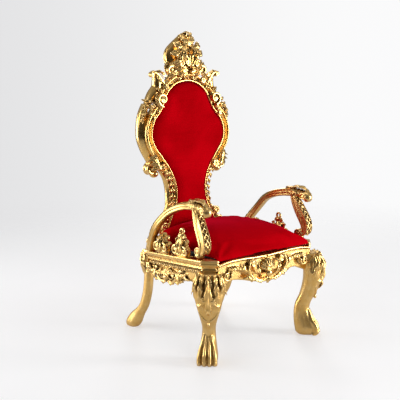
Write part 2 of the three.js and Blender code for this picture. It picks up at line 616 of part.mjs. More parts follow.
function backSide(hand) {
  const run = (points) => smooth(points.map(([x, z, y = 40]) => [hand * x, y, z]));
  const through = at(0, 1, 0);
  const tube = (points, steps, size, n = 8) => sweep(run(points), through, round(n), steps, size);
  const bulge = (ends, most) => (t) => [most + 4 - 10 * Math.abs(2 * t - 1), ends + (most - ends) * Math.sin(Math.PI * t)];
  const parts = [];
  // The long outer C that swells round the widest part, and the short one above it.
  parts.push(tube([[248, 700], [269, 650], [279, 590], [278, 530], [260, 470], [236, 420], [220, 376]],
    12, bulge(20, 31)));
  parts.push(tube([[183, 850, 24], [179, 820, 26], [179, 786, 30], [202, 752, 36], [223, 722, 38], [240, 694, 38]],
    9, bulge(18, 28)));
  parts.push(boss(hand * 231, 44, 360, 33, 33, 36, 10, 7));
  parts.push(boss(hand * 214, 30, 332, 24, 26, 20));
  // Stile from the waist down to the rear rail.
  parts.push(tube([[176, 372, 30], [132, 312, 40], [115, 250, 46], [115, 180, 46], [135, 100, 34], [174, 30, 20],
    [188, -56, 14]], 10, () => [24, 24]));
  // Collar, shoulder rosette, arch scroll, pendant leaf.
  parts.push(layLeaf([[hand * 216, 2, 700], [hand * 250, -4, 690], [hand * 282, 22, 700]], 17, 10, 3, 5));
  parts.push(layLeaf([[hand * 262, 12, 694], [hand * 282, 10, 640], [hand * 288, 14, 592]], 16, 10, 3, 5));
  parts.push(boss(hand * 184, -10, 722, 30, 20, 36));
  parts.push(volute(at(hand * 182, -22, 728), at(hand, 0, 0), at(0, 0, 1), -Math.PI / 2, 1.2, 26, 8, 11, 9));
  parts.push(boss(hand * 196, -8, 670, 13, 13, 22));
  parts.push(boss(hand * 218, -6, 640, 16, 14, 18));
  // Ear: a leaf that curls out over the shoulder.
  parts.push(leaf([[hand * 150, 18, 826], [hand * 182, 12, 860], [hand * 212, 12, 872], [hand * 232, 14, 854]],
    through, 24, 9, 2, 6));
  parts.push(layLeaf([[hand * 60, -8, 852], [hand * 110, -16, 838], [hand * 160, -8, 790]], 22, 11, 4, 6));
  parts.push(layLeaf([[hand * 12, -8, 862], [hand * 50, -18, 868], [hand * 92, -8, 850]], 20, 11, 3, 5));
  // Waist: a flower, the outward plume and the leaf drop on the stile.
  parts.push(boss(hand * 180, 6, 366, 24, 20, 24));
  parts.push(layLeaf([[hand * 186, 0, 352], [hand * 224, -6, 378], [hand * 262, 16, 392]], 26, 10, 3, 6));
  [[152, 330, 6], [132, 290, 10], [121, 246, 12], [122, 202, 12]].forEach(([x, z, y], k) => {
    parts.push(layLeaf([[hand * (x + 6), y + 6, z + 22], [hand * x, y - 4, z], [hand * (x - 2), y + 2, z - 24]],
      17 - 2 * k, 10, 1, 4));
  });
  // Foot scrolls beside the seat.
  parts.push(boss(hand * 160, 18, 98, 26, 26, 36));
  parts.push(volute(at(hand * 168, 2, 112), at(hand, 0, 0), at(0, 0, 1), -Math.PI / 2, 1.1, 22, 9, 15, 9));
  parts.push(volute(at(hand * 186, 0, 64), at(hand, 0, 0), at(0, 0, 1), -Math.PI / 2, 1.1, 22, 9, 15, 9));
  return parts;
}

const backPlace = () => new THREE.Matrix4().makeTranslation(0, BACK.footY, BACK.footZ)
  .multiply(new THREE.Matrix4().makeRotationX(-BACK.rake));

function makeBackFrame() {
  const moulding = backMoulding(BACK.steps);
  const parts = [moulding, ...backSide(-1), ...backSide(1), box(-196, 196, -2, 38, -60, 2)];
  const inPlace = (manifold) => solid(turned(geometryOf(manifold), backPlace()));
  const under = solid(box(-400, 400, 0, 500, 300, SEAT.topRear + GAP));
  const panel = solid(slab(panelSolid(0, -4, 60, BACK.steps)));
  const crestPlace = solid(box(-CREST_HALF, CREST_HALF, -100, 120, 830, 1200)).subtract(archSolid(0));
  return geometryOf(inPlace(carve(parts, BUDGET.backFrame).subtract(panel).subtract(crestPlace)).subtract(under));
}

// ---------------------------------------------------------------- crest

const CREST_HALF = 126;

// Everything inside the outer edge of the arch's moulding, on which the crest stands.
const archSolid = (gap) => solid(slab(panelSolid(-BACK.mouldWide - gap, -120, 140, BACK.steps)));

function makeCrest() {
  // height, half width, front, rear
  const hood = [[834, 86, -12, 46], [862, 88, -12, 58], [888, 98, -10, 76], [918, 106, -8, 90], [952, 107, -6, 94],
    [986, 96, -8, 86], [1016, 72, -12, 68], [1042, 46, -16, 46], [1060, 24, -18, 28]];
  const ring = ([z, wide, front, rear]) => round(10, TAU / 20).map(([c, s]) =>
    at(wide * c, (front + rear) / 2 + (rear - front) / 2 * s, z));
  const parts = [loft(hood.map(ring))];
  const face = at(0, 0, 1);
  for (const hand of [-1, 1]) {
    parts.push(boss(hand * 27, -22, 962, 27, 24, 40));
    parts.push(boss(hand * 42, -22, 926, 24, 20, 26));
    // Leaf tips that radiate round the hood's rim.
    for (let k = 0; k < 5; k++) {
      const angle = (-0.12 + 0.27 * k) * Math.PI;
      const spot = (r, y) => [hand * r * Math.cos(angle), y, 948 + r * 1.02 * Math.sin(angle)];
      parts.push(leaf([spot(52, -14), spot(84, -22), spot(112, -4)],
        at(-Math.sin(angle) * hand, 0, Math.cos(angle)), 17, 9, 1, 4));
    }
    parts.push(leaf([[hand * 16, -14, 900], [hand * 60, -24, 892], [hand * 100, -10, 904]], face, 19, 13, 3, 5));
    parts.push(volute(at(hand * 88, -6, 902), at(hand, 0, 0), at(0, 0, 1), -1, 1.1, 17, 8, 13, 8));
  }
  parts.push(volute(at(-12, -34, 902), at(-1, 0, 0), at(0, 0, 1), 0, 1.2, 17, 7, 13, 9));
  parts.push(boss(16, -30, 896, 20, 16, 17));
  parts.push(boss(0, -18, 1012, 26, 22, 20));
  parts.push(boss(0, -34, 930, 10, 14, 30));
  parts.push(leaf([[0, 36, 1016], [0, 30, 1054], [0, 0, 1072], [0, -36, 1068], [0, -46, 1050]],
    at(1, 0, 0), 34, 8, 2, 7));
  const side = CREST_HALF - GAP;
  return carve(parts, BUDGET.crest).subtract(archSolid(GAP)).intersect(solid(box(-side, side, -100, 120, 831, 1200)));
}

// ---------------------------------------------------------------- arms

const railLine = (y) => -(seatHalf(y) - 22);
const armPoint = ([y, out, z]) => [railLine(y) - out, y, z];

function makeArm() {
  const parts = [];
  const section = [[-1, -0.8], [-1, 0.7], [-0.4, 1], [0.4, 1], [1, 0.7], [1, -0.8], [0, -1]];
  const beam = smooth(ARM.path.map(armPoint));
  const rings = [];
  for (let i = 0; i <= 18; i++) {
    const t = i / 18;
    const p = beam.getPoint(t);
    const way = beam.getTangent(t);
    const across = at(1, 0, 0);
    const up = across.clone().cross(way).normalize();
    const grow = 1 + 0.25 * Math.max(0, 1 - 6 * t) + 0.12 * Math.max(0, 5 * t - 4);
    rings.push(section.map(([a, b]) => p.clone().addScaledVector(across, a * ARM.wide * grow)
      .addScaledVector(up, b * ARM.high * grow)));
  }
  parts.push(loft(rings));
  // Hand-hold: a scroll that rolls over, with a leaf on top of it.
  const [hx, hy, hz] = armPoint([-250, 2, 742]);
  parts.push(boss(hx, hy, hz, 25, 48, 24, 10, 7));
  parts.push(new THREE.CylinderGeometry(22, 22, 48, 10).rotateZ(Math.PI / 2).translate(hx, hy - 30, hz - 4));
  parts.push(leaf([armPoint([-168, 0, 758]), armPoint([-212, 1, 772]), armPoint([-256, 2, 770]),
    armPoint([-292, 2, 752])], at(1, 0, 0), 27, 10, 4, 6));
  parts.push(leaf([armPoint([-160, 0, 716]), armPoint([-196, 0, 712]), armPoint([-222, 0, 700])],
    at(1, 0, 0), 22, 9, 1, 3));
  // Support, with its volute standing on the rail.
  const stay = smooth(ARM.support.map(armPoint));
  parts.push(sweep(stay, at(1, 0, 0), [[-1, -0.9], [-1, 0.8], [0, 1], [1, 0.8], [1, -0.9], [0, -1]], 12,
    (t) => [18 + 3 * t, 15 + 9 * Math.sin(Math.PI * t)]));
  const [sx, sy, sz] = armPoint([-236, 2, 534]);
  parts.push(new THREE.CylinderGeometry(24, 24, 46, 10).rotateZ(Math.PI / 2).translate(sx, sy, sz - 8));
  parts.push(boss(sx, sy, sz - 10, 27, 15, 15));
  const [fx, fy, fz] = armPoint([198, 4, 474]);
  parts.push(boss(fx, fy, fz, 26, 30, 26));
  const body = carve(parts, BUDGET.arm).subtract(underSideRail());
  const rear = solid(box(-400, -200, REAR_POST.frontY + 22, 400, 400, 520));
  return geometryOf(body.subtract(rear));
}

// Everything below the rail's sloping top, which the arms and their carvings stand on.
function underSideRail() {
  const ramp = (y) => {
    const [y0, y1] = [SIDE.from.y, REAR_POST.frontY];
    const t = THREE.MathUtils.clamp((y - y0) / (y1 - y0), 0, 1);
    return THREE.MathUtils.lerp(SEAT.topFront, SEAT.topRear, t) + GAP;
  };
  const stations = [-500, SIDE.from.y, REAR_POST.frontY, 500];
  return solid(loft(stations.map((y) => [at(-500, y, 300), at(-150, y, 300), at(-150, y, ramp(y)), at(-500, y, ramp(y))])));
}

// The shell and the fleuron stand on the side rail inside the arm's loop.
function makeArmShell() {
  const [x, y, z] = armPoint([70, 12, 474]);
  const parts = [scallop(at(x + 14, y, z - 8), at(0, -1, 0), at(0, 0, 1), 60, 96, 26, 5, 0.9)];
  parts.push(boss(x, y, z + 6, 22, 52, 22));
  parts.push(boss(x - 4, y + 26, z + 36, 18, 24, 26));
  parts.push(boss(x - 4, y - 22, z + 50, 17, 26, 28));
  parts.push(boss(x - 4, y, z + 80, 17, 28, 24));
  return geometryOf(carve(parts, BUDGET.armShell).subtract(underSideRail()));
}

function makeArmFleuron() {
  const [x, y, z] = armPoint([-92, 6, 482]);
  const parts = [boss(x, y, z + 10, 22, 62, 20)];
  parts.push(boss(x, y, z + 60, 19, 24, 50));
  parts.push(boss(x, y, z + 106, 15, 20, 16));
  parts.push(new THREE.TorusGeometry(12, 5, 6, 10).rotateY(Math.PI / 2).translate(x, y, z + 124));
  for (const hand of [-1, 1]) {
    parts.push(leaf([[x, y + hand * 14, z + 20], [x, y + hand * 34, z + 70], [x, y + hand * 44, z + 90],
      [x, y + hand * 56, z + 74]], at(1, 0, 0), 18, 10, 2, 5));
    parts.push(boss(x - 8, y + hand * 40, z + 30, 15, 17, 21));
  }
  return geometryOf(carve(parts, BUDGET.armFleuron).subtract(underSideRail()));
}

// ---------------------------------------------------------------- assembly

const throne = new THREE.Group();
const stand = new THREE.Group();
stand.position.y = -CENTRE_Y;
throne.add(stand);

function add(name, geometry, material, parent = stand) {
  const piece = new THREE.Mesh(geometry, material);
  piece.name = name;
  parent.add(piece);
}

function addPair(name, geometry, material) {
  add(`${name}_left`, geometry, material());
  add(`${name}_right`, mirrored(geometry), material());
}

const reclined = new THREE.Group();
reclined.position.set(0, BACK.footY, BACK.footZ);
reclined.rotation.x = -BACK.rake;
stand.add(reclined);

addPair('front_leg', makeFrontLeg(), satinGold);
addPair('rear_leg', makeRearLeg(), satinGold);
add('front_rail', makeFrontRail(), polishedGold());
addPair('side_rail', makeSideRail(), polishedGold);
add('rear_rail', makeRearRail(), satinGold());
add('seat_board', makeSeatBoard(), blackCloth());
add('seat_cushion', makeCushion(), velvet());
add('back_frame', makeBackFrame(), polishedGold());
add('back_pad', makeBackPad(), velvet(), reclined);
add('back_cover', makeBackCover(), velvet(), reclined);
add('crest', geometryOf(makeCrest()), polishedGold(), reclined);
addPair('arm', makeArm(), satinGold);
addPair('arm_shell', makeArmShell(), polishedGold);
addPair('arm_fleuron', makeArmFleuron(), polishedGold);

export default throne;
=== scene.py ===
"""A carved and gilded throne with a velvet seat and a tall velvet back.

Lengths in the carving code are millimetres in the maker's drawing frame, which
to_scene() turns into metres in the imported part's frame.
"""

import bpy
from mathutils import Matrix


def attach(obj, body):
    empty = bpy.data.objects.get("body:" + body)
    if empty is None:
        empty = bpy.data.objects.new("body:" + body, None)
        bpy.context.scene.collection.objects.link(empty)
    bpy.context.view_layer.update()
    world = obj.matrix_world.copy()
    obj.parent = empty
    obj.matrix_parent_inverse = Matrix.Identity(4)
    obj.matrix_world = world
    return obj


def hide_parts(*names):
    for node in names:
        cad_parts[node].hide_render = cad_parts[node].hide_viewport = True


bl_info = {
    "name": "Carved throne",
    "version": (1, 0, 0),
    "blender": (4, 5, 0),
    "location": "3D View > Sidebar > Throne",
    "description": "Builds a gilded throne with velvet upholstery over its solid frame",
    "category": "Object",
}

import math

import bpy
import numpy as np
from bpy.props import FloatProperty, FloatVectorProperty, IntProperty, PointerProperty
from mathutils import Vector

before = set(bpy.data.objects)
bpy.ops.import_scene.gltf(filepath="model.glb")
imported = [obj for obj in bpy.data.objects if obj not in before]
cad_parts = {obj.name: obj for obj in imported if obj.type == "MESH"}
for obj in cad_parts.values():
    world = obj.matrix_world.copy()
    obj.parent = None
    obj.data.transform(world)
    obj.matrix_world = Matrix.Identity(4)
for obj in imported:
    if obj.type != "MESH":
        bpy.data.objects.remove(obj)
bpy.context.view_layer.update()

TAU = 2 * math.pi
DRAWING_SHIFT_Y = -23.0          # the drawing's origin in the part's frame
BACK_FOOT = (0.0, 231.0, 500.0)  # where the reclined back starts
BACK_RAKE = math.radians(3.78)

SEAT_FRONT_X, SEAT_FRONT_Y = 366.0, -334.0
SEAT_REAR_X, SEAT_REAR_Y = 316.0, 268.0
RAIL_TOP_FRONT, RAIL_TOP_REAR = 500.0, 452.0
BLOCK = 56.0                     # side of the block over each front leg
CHAMFER = 47.0                   # how far the block's outer corner is cut away
POST_FRONT_Y = 214.0
CORNER = (343.0, -311.0)         # middle of the front leg, under the block
MM = 0.001
TINY = 1e-9                      # keeps a zero length from being divided by
LEAST_Z = 0.6                    # the feet stand this far clear of the floor

# Half of the velvet panel's outline, from the seat up to the crown of the arch.
PANEL = [
    (176, 8), (142, 88), (106, 160), (95, 250), (122, 340), (180, 425), (227, 490),
    (240, 545), (224, 605), (172, 668), (150, 712), (122, 760), (70, 799), (0, 813),
]
MOULD_WIDE = 44.0
BACK_DEEP = 40.0                 # how far the outer scrolls' middle lies behind the back's front

# The most triangles that each carving keeps.
LIMITS = {
    "front_leg": 56000, "rear_leg": 16000, "front_rail": 88000, "side_rail": 68000, "rear_rail": 9000,
    "arm": 40000, "arm_shell": 16000, "arm_fleuron": 20000, "back_carving": 185000, "crest": 90000,
    "seat_velvet": 44000, "back_velvet": 40000, "back_velvet_blank": 60000, "rear_velvet": 16000,
}

OUT_FRONT = np.array((0.0, -1.0, 0.0))
ACROSS = np.array((1.0, 0.0, 0.0))
THROUGH = np.array((0.0, 1.0, 0.0))
UP = np.array((0.0, 0.0, 1.0))


# ---------------------------------------------------------------- settings


class ThroneSizes(bpy.types.PropertyGroup):
    """Sizes that change how finely the throne is carved and stuffed."""

    carving_cut: FloatProperty(
        name="Carving cut", description="Width of the finest tool mark in the carving",
        default=0.0022, min=0.0015, max=0.006, unit="LENGTH", subtype="DISTANCE")
    soften: IntProperty(
        name="Gesso coats", description="How many times the gesso softens the carving",
        default=2, min=0, max=8)
    cushion_swell: FloatProperty(
        name="Cushion swell", description="How far the stuffing may push the velvet out",
        default=0.009, min=0.0, max=0.03, unit="LENGTH", subtype="DISTANCE")
    camera_distance: FloatProperty(
        name="Camera distance", description="Distance from the camera to the middle of the part",
        default=4.163, min=1.0, max=10.0, unit="LENGTH", subtype="DISTANCE")


class ThroneColours(bpy.types.PropertyGroup):
    """Colours of the gilding, the velvet and the stage."""

    gold: FloatVectorProperty(
        name="Gold", description="Burnished gold leaf", subtype="COLOR", size=4,
        default=(0.86, 0.53, 0.16, 1.0), min=0.0, max=1.0)
    # Painted shade: this dark gold is laid into the carving's hollows, where shade falls.
    hollow_shade_gold: FloatVectorProperty(
        name="Painted hollow shade", description="Gold darkened in the hollows as painted shade", subtype="COLOR", size=4,
        default=(0.13, 0.052, 0.010, 1.0), min=0.0, max=1.0)
    # Pale gold: partly rubbed wear, partly a painted highlight on the sharp edges; it is also mixed in at
    # random patches.
    pale_gold_and_highlight: FloatVectorProperty(
        name="Rubbed gold and highlight", description="Gold rubbed bright on the edges, with a painted highlight", subtype="COLOR", size=4,
        default=(1.0, 0.76, 0.38, 1.0), min=0.0, max=1.0)
    velvet: FloatVectorProperty(
        name="Velvet", description="Velvet seen along its pile", subtype="COLOR", size=4,
        default=(0.50, 0.0004, 0.0045, 1.0), min=0.0, max=1.0)
    deep_velvet: FloatVectorProperty(
        name="Deep velvet", description="Velvet seen into its pile", subtype="COLOR", size=4,
        default=(0.25, 0.0002, 0.0012, 1.0), min=0.0, max=1.0)
    lining: FloatVectorProperty(
        name="Lining", description="Cloth under the seat", subtype="COLOR", size=4,
        default=(0.012, 0.011, 0.012, 1.0), min=0.0, max=1.0)
    floor: FloatVectorProperty(
        name="Floor", description="Studio floor", subtype="COLOR", size=4,
        default=(0.52, 0.52, 0.53, 1.0), min=0.0, max=1.0)


# ---------------------------------------------------------------- small geometry


def vec(*values):
    return np.array(values, dtype=float)


def unit(v):
    return v / max(np.linalg.norm(v), TINY)


def through(points, count, closed=False):
    """A centripetal curve through the points, sampled evenly between them."""
    p = np.array(points, dtype=float)
    if closed:
        ext = np.vstack([p[-1:], p, p[:2]])
        spans = len(p)
    else:
        ext = np.vstack([2 * p[:1] - p[1:2], p, 2 * p[-1:] - p[-2:-1]])
        spans = len(p) - 1
    out = []
    for k in range(count):
        s = spans * k / (count if closed else count - 1)
        i = min(int(s), spans - 1)
        w = s - i
        a, b, c, d = ext[i:i + 4]
        d0, d1, d2 = (max(np.linalg.norm(q - r), 1e-6) ** 0.5 for q, r in ((b, a), (c, b), (d, c)))
        t1 = ((b - a) / d0 - (c - a) / (d0 + d1) + (c - b) / d1) * d1
        t2 = ((c - b) / d1 - (d - b) / (d1 + d2) + (d - c) / d2) * d1
        w2, w3 = w * w, w * w * w
        out.append((2 * w3 - 3 * w2 + 1) * b + (w3 - 2 * w2 + w) * t1
                   + (3 * w2 - 2 * w3) * c + (w3 - w2) * t2)
    return np.array(out)


def lengths_along(points):
    """How far along the curve each of its points lies."""
    return np.concatenate([[0], np.cumsum(np.linalg.norm(np.diff(points, axis=0), axis=1))])


def evenly(points, step):
    """The same curve with points about a step apart along its length."""
    run = lengths_along(points)
    count = max(int(round(run[-1] / step)), 2)
    at = np.linspace(0, run[-1], count + 1)
    return np.stack([np.interp(at, run, points[:, k]) for k in range(3)], axis=1)


def units(rows):
    return rows / np.maximum(np.linalg.norm(rows, axis=1, keepdims=True), TINY)


def tangents(points):
    return units(np.gradient(points, axis=0))


def carried(points, count, out, side):
    """A curve's points, the direction across it and the one that rises from it on out's side."""
    p = through(points, count)
    across = unit(np.cross(out, p[-1] - p[0])) if side is None else side
    lift = np.cross(tangents(p), across)
    if lift[0] @ out < 0:
        lift = -lift
    return p, across, units(lift)


def circle(n):
    a = np.arange(n) * TAU / n
    return np.stack([np.cos(a), np.sin(a)], axis=1)


def smoothstep(x, lo, hi):
    t = np.clip((np.asarray(x, dtype=float) - lo) / (hi - lo), 0, 1)
    return t * t * (3 - 2 * t)


ROUND = circle(16)
# A scroll's band: two lips with a hollow between them.
FLUTED = np.array([
    (-1, -0.7), (-1.02, 0.2), (-0.94, 0.78), (-0.78, 1), (-0.6, 0.86), (-0.4, 0.5), (0, 0.34),
    (0.4, 0.5), (0.6, 0.86), (0.78, 1), (0.94, 0.78), (1.02, 0.2), (1, -0.7), (0.5, -0.95), (-0.5, -0.95),
])
# A half-round on a narrow fillet.
REEDED = np.array([
    (-1, -0.8), (-1, 0.1), (-0.86, 0.16), (-0.8, 0.5), (-0.55, 0.86), (-0.2, 1), (0.2, 1),
    (0.55, 0.86), (0.8, 0.5), (0.86, 0.16), (1, 0.1), (1, -0.8), (0, -1),
])


class Carving:
    """Closed shells that are fused into one carved piece."""

    def __init__(self):
        self.points = []
        self.faces = []
        self.count = 0

    def add(self, points, faces):
        self.points.append(np.asarray(points, dtype=float).reshape(-1, 3))
        self.faces.extend([tuple(int(i) + self.count for i in f) for f in faces])
        self.count += len(self.points[-1])

    def loft(self, rings):
        """Joins rings of the same number of points, and closes both ends."""
        rings = np.asarray(rings, dtype=float)
        m, n, _ = rings.shape
        faces = []
        for i in range(m - 1):
            for j in range(n):
                a, b = i * n + j, i * n + (j + 1) % n
                faces.append((a, b, b + n, a + n))
        faces.append(tuple(range(n))[::-1])
        faces.append(tuple(range((m - 1) * n, m * n)))
        self.add(rings, faces)

    def sweep(self, points, out, section, size, count=40, side=None):
        """Runs a section along a curve. size(t) gives its half width and half height."""
        p, across, lift = carried(points, count, out, side)
        rings = []
        for k in range(count):
            wide, high = size(k / (count - 1))
            rings.append(p[k] + np.outer(section[:, 0] * wide, across)
                         + np.outer(section[:, 1] * high, lift[k]))
        self.loft(rings)

    def ball(self, centre, radii, axes=None, n=20, m=12):
        """An egg of n sides and m bands, turned into axes where they are given."""
        rows = []
        for i in range(1, m):
            a = math.pi * i / m
            ring = circle(n) * math.sin(a)
            rows.append(np.column_stack([ring[:, 0], ring[:, 1], np.full(n, -math.cos(a))]))
        points = np.vstack([[(0, 0, -1)], np.vstack(rows), [(0, 0, 1)]]) * np.array(radii, dtype=float)
        if axes is not None:
            points = points @ np.array(axes)
        faces = [(0, 1 + (j + 1) % n, 1 + j) for j in range(n)]
        for i in range(m - 2):
            for j in range(n):
                a, b = 1 + i * n + j, 1 + i * n + (j + 1) % n
                faces.append((a, b, b + n, a + n))
        top = len(points) - 1
        base = 1 + (m - 2) * n
        faces += [(top, base + j, base + (j + 1) % n) for j in range(n)]
        self.add(points + np.array(centre, dtype=float), faces)

    def beads(self, points, radius, count, taper=0.0):
        """A string of beads along a curve, each smaller than the last where it tapers."""
        line = evenly(through(points, 60), 1.0)
        spots = line[np.linspace(0, len(line) - 1, count).astype(int)]
        for k, p in enumerate(spots):
            r = radius * (1 - taper * k / max(count - 1, 1))
            self.ball(p, (r, r, r), n=10, m=8)

    def leaf(self, points, out, width, thick, lobes=3, side=None, count=None, cut=0.2):
        """An acanthus leaf: a raised midrib, slanting veins and a lobed edge."""
        count = count or 14 * max(lobes, 2)
        u = np.linspace(-1, 1, 13)
        dome = (1 - np.abs(u) ** 2.4) ** 0.5
        rib = 0.34 * np.exp(-(u / 0.15) ** 2) - 0.22 * np.exp(-((np.abs(u) - 0.34) / 0.13) ** 2)
        p, across, lift = carried(points, count, out, side)
        rings = []
        for k in range(count):
            t = k / (count - 1)
            swell = math.sin(math.pi * (0.13 + 0.855 * t)) ** 0.75
            wave = math.cos(TAU * (lobes * t - 0.62))
            wide = max(width * swell * (1 - cut + cut * wave), 0.8)
            body = thick * (1 - 0.55 * t)
            vein = 0.62 + 0.22 * np.cos(TAU * (lobes * t - 0.55 * np.abs(u) - 0.1))
            top = body * (dome * vein + rib * dome)
            under = -0.42 * body * (1 - 0.6 * np.abs(u))
            line = np.vstack([np.column_stack([u, top]), np.column_stack([u[1:-1], under[1:-1]])[::-1]])
            rings.append(p[k] + np.outer(line[:, 0] * wide, across) + np.outer(line[:, 1], lift[k]))
        self.loft(rings)

    def volute(self, centre, ex, ey, start, turns, outer, thick, wide, eye=0.34, count=54):
        """A band that winds in to a round eye, in the plane of ex and ey."""
        centre = np.array(centre, dtype=float)
        normal = np.cross(ex, ey)
        t = np.linspace(0, 1, count)
        angle = start + turns * TAU * t
        radius = outer * (0.3 ** t)
        p = centre + np.outer(radius * np.cos(angle), ex) + np.outer(radius * np.sin(angle), ey)
        rings = []
        for k in range(count):
            radial = unit(p[k] - centre)
            w, h = wide * (1 - 0.3 * t[k]), thick * (1 - 0.5 * t[k])
            rings.append(p[k] + np.outer(FLUTED[:, 0] * w, normal) + np.outer(FLUTED[:, 1] * h * 0.8,
                                                                              radial))
        self.loft(rings)
        r = outer * eye
        self.ball(centre, (r, r, wide * 0.85), axes=[ex, ey, normal])

    def scallop(self, centre, ex, ey, rx, ry, bulge, ribs, spread=0.8):
        """Ribs that fan out from a hinge over a domed shell."""
        out = unit(np.cross(ex, ey))
        cols, rows = ribs * 10, 12
        centre = np.array(centre, dtype=float)
        front = np.zeros((rows, cols + 1, 3))
        back = np.zeros((rows, cols + 1, 3))
        for i in range(rows):
            s = 0.1 + 0.9 * i / (rows - 1)
            for j in range(cols + 1):
                a = j / cols
                angle = math.pi / 2 + spread * math.pi * (0.5 - a)
                rib = abs(math.sin(math.pi * ribs * a))
                reach = s * (1 - 0.13 * (1 - rib) * s)
                lift = bulge * (math.sin(math.pi * (0.22 + 0.66 * s)) * (0.58 + 0.42 * rib ** 0.7))
                spot = centre + ex * rx * reach * math.cos(angle) + ey * ry * reach * math.sin(angle)
                front[i, j] = spot + out * lift
                back[i, j] = spot - out * bulge * 0.35
        rings = [np.vstack([front[:, j], back[::-1, j]]) for j in range(cols + 1)]
        self.loft(rings)

    def flower(self, centre, ex, ey, radius, petals=5, depth=7.0):
        """A small open flower that faces the cross of ex and ey."""
        out = unit(np.cross(ex, ey))
        centre = np.array(centre, dtype=float)
        for k in range(petals):
            a = TAU * (k + 0.25) / petals
            way = ex * math.cos(a) + ey * math.sin(a)
            petal = [centre + way * radius * 0.15 + out * depth * 0.3,
                     centre + way * radius * 0.6 + out * depth * 0.75,
                     centre + way * radius + out * depth * 0.1]
            self.leaf(petal, out, radius * 0.5, depth * 0.7, 1, count=14, cut=0.1)
        eye = (radius * 0.28, radius * 0.28, depth * 0.7)
        self.ball(centre + out * depth * 0.6, eye, axes=[ex, ey, out], n=14, m=10)

    def prism(self, plan, levels):
        """A plan drawn again at each level, grown by the level's second number."""
        plan = np.array(plan, dtype=float)
        middle = (plan.max(0) + plan.min(0)) / 2
        half = (plan.max(0) - plan.min(0)) / 2
        rings = []
        for z, grow in levels:
            factor = 1 + grow / half
            rings.append(np.column_stack([(plan - middle) * factor + middle, np.full(len(plan), z)]))
        self.loft(rings)

    def moved(self, change):
        """Puts every shell through a change of place."""
        self.points = [change(shell) for shell in self.points]


def to_scene(p):
    return (p + vec(0, DRAWING_SHIFT_Y, 0)) * MM


def reclined(p):
    """From the back's own upright frame to the drawing, leaning rearwards."""
    c, s = math.cos(BACK_RAKE), math.sin(BACK_RAKE)
    y = p[:, 1] * c + p[:, 2] * s
    z = -p[:, 1] * s + p[:, 2] * c
    return np.column_stack([p[:, 0], y, z]) + np.array(BACK_FOOT)


# ---------------------------------------------------------------- objects


def new_object(name, data):
    piece = bpy.data.objects.new(name, data)
    bpy.context.scene.collection.objects.link(piece)
    return piece


def mesh_from(name, points, faces, material):
    mesh = bpy.data.meshes.new(name)
    mesh.from_pydata([tuple(p) for p in points], [], faces)
    mesh.validate()
    mesh.materials.append(material)
    return mesh


def read_points(mesh):
    points = np.empty(len(mesh.vertices) * 3, dtype=np.float64)
    mesh.vertices.foreach_get("co", points)
    return points.reshape(-1, 3)


def applied(piece):
    """Replaces the piece's mesh by what its modifiers make of it."""
    graph = bpy.context.evaluated_depsgraph_get()
    made = bpy.data.meshes.new_from_object(piece.evaluated_get(graph))
    old = piece.data
    piece.modifiers.clear()
    piece.data = made
    made.name = piece.name
    bpy.data.meshes.remove(old)
    return piece


def thinned(piece, limit):
    """Merges the flattest faces until no more than limit triangles are left."""
    mesh = piece.data
    triangles = sum(len(face.vertices) - 2 for face in mesh.polygons)
    if triangles > limit:
        thin = piece.modifiers.new("Thin", "DECIMATE")
        thin.ratio = limit / triangles
        applied(piece)
    piece.data.shade_smooth()
    return piece


def fused(name, carving, material, limit, cut=None):
    """One skin round all of a carving's shells, softened as by coats of gesso."""
    sizes = bpy.context.scene.throne_sizes
    points = to_scene(np.vstack(carving.points))
    piece = new_object(name, mesh_from(name, points, carving.faces, material))
    remesh = piece.modifiers.new("Skin", "REMESH")
    remesh.mode = "VOXEL"
    remesh.voxel_size = (cut or sizes.carving_cut) * 1.0
    coats = piece.modifiers.new("Gesso", "SMOOTH")
    coats.factor = 0.5
    coats.iterations = sizes.soften
    return thinned(applied(piece), limit)


def twin(piece, name):
    """The piece's mirror image on the other side of the middle plane."""
    mesh = piece.data.copy()
    mesh.name = name
    points = read_points(mesh) * (-1, 1, 1)
    mesh.vertices.foreach_set("co", points.ravel())
    mesh.flip_normals()
    mesh.update()
    return new_object(name, mesh)


def settle(piece, solid):
    """Ties a finished piece to the part's body, and hides the solid it stands for."""
    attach(piece, "root")
    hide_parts(solid)


def carve_pair(stem, carving, finish):
    """Makes a left-hand carving and its mirror image."""
    piece = fused(stem + "_carved_left", carving, finish_of(finish), LIMITS[stem])
    other = twin(piece, stem + "_carved_right")
    settle(piece, stem + "_left")
    settle(other, stem + "_right")


# ---------------------------------------------------------------- materials


def node(tree, kind, x, y, **settings):
    made = tree.nodes.new(kind)
    made.location = (x, y)
    for key, value in settings.items():
        setattr(made, key, value)
    return made


def group_with(name, inputs, outputs):
    """An empty node group with its sockets, its input node and its output node."""
    tree = bpy.data.node_groups.new(name, "ShaderNodeTree")
    for label, kind, default in inputs:
        socket = tree.interface.new_socket(name=label, in_out="INPUT", socket_type=kind)
        socket.default_value = default
    for label, kind in outputs:
        tree.interface.new_socket(name=label, in_out="OUTPUT", socket_type=kind)
    return tree, node(tree, "NodeGroupInput", -1400, 0), node(tree, "NodeGroupOutput", 700, 0)


def maths(tree, operation, a, b, x, y, clamp=False):
    made = node(tree, "ShaderNodeMath", x, y, operation=operation, use_clamp=clamp)
    for k, value in enumerate((a, b)):
        if isinstance(value, (int, float)):
            made.inputs[k].default_value = value
        else:
            tree.links.new(value, made.inputs[k])
    return made.outputs[0]


def ranged(tree, value, lo, hi, x, y, to_lo=0.0, to_hi=1.0):
    made = node(tree, "ShaderNodeMapRange", x, y, interpolation_type="SMOOTHSTEP")
    tree.links.new(value, made.inputs["Value"])
    for label, number in (("From Min", lo), ("From Max", hi), ("To Min", to_lo), ("To Max", to_hi)):
        made.inputs[label].default_value = number
    return made.outputs["Result"]


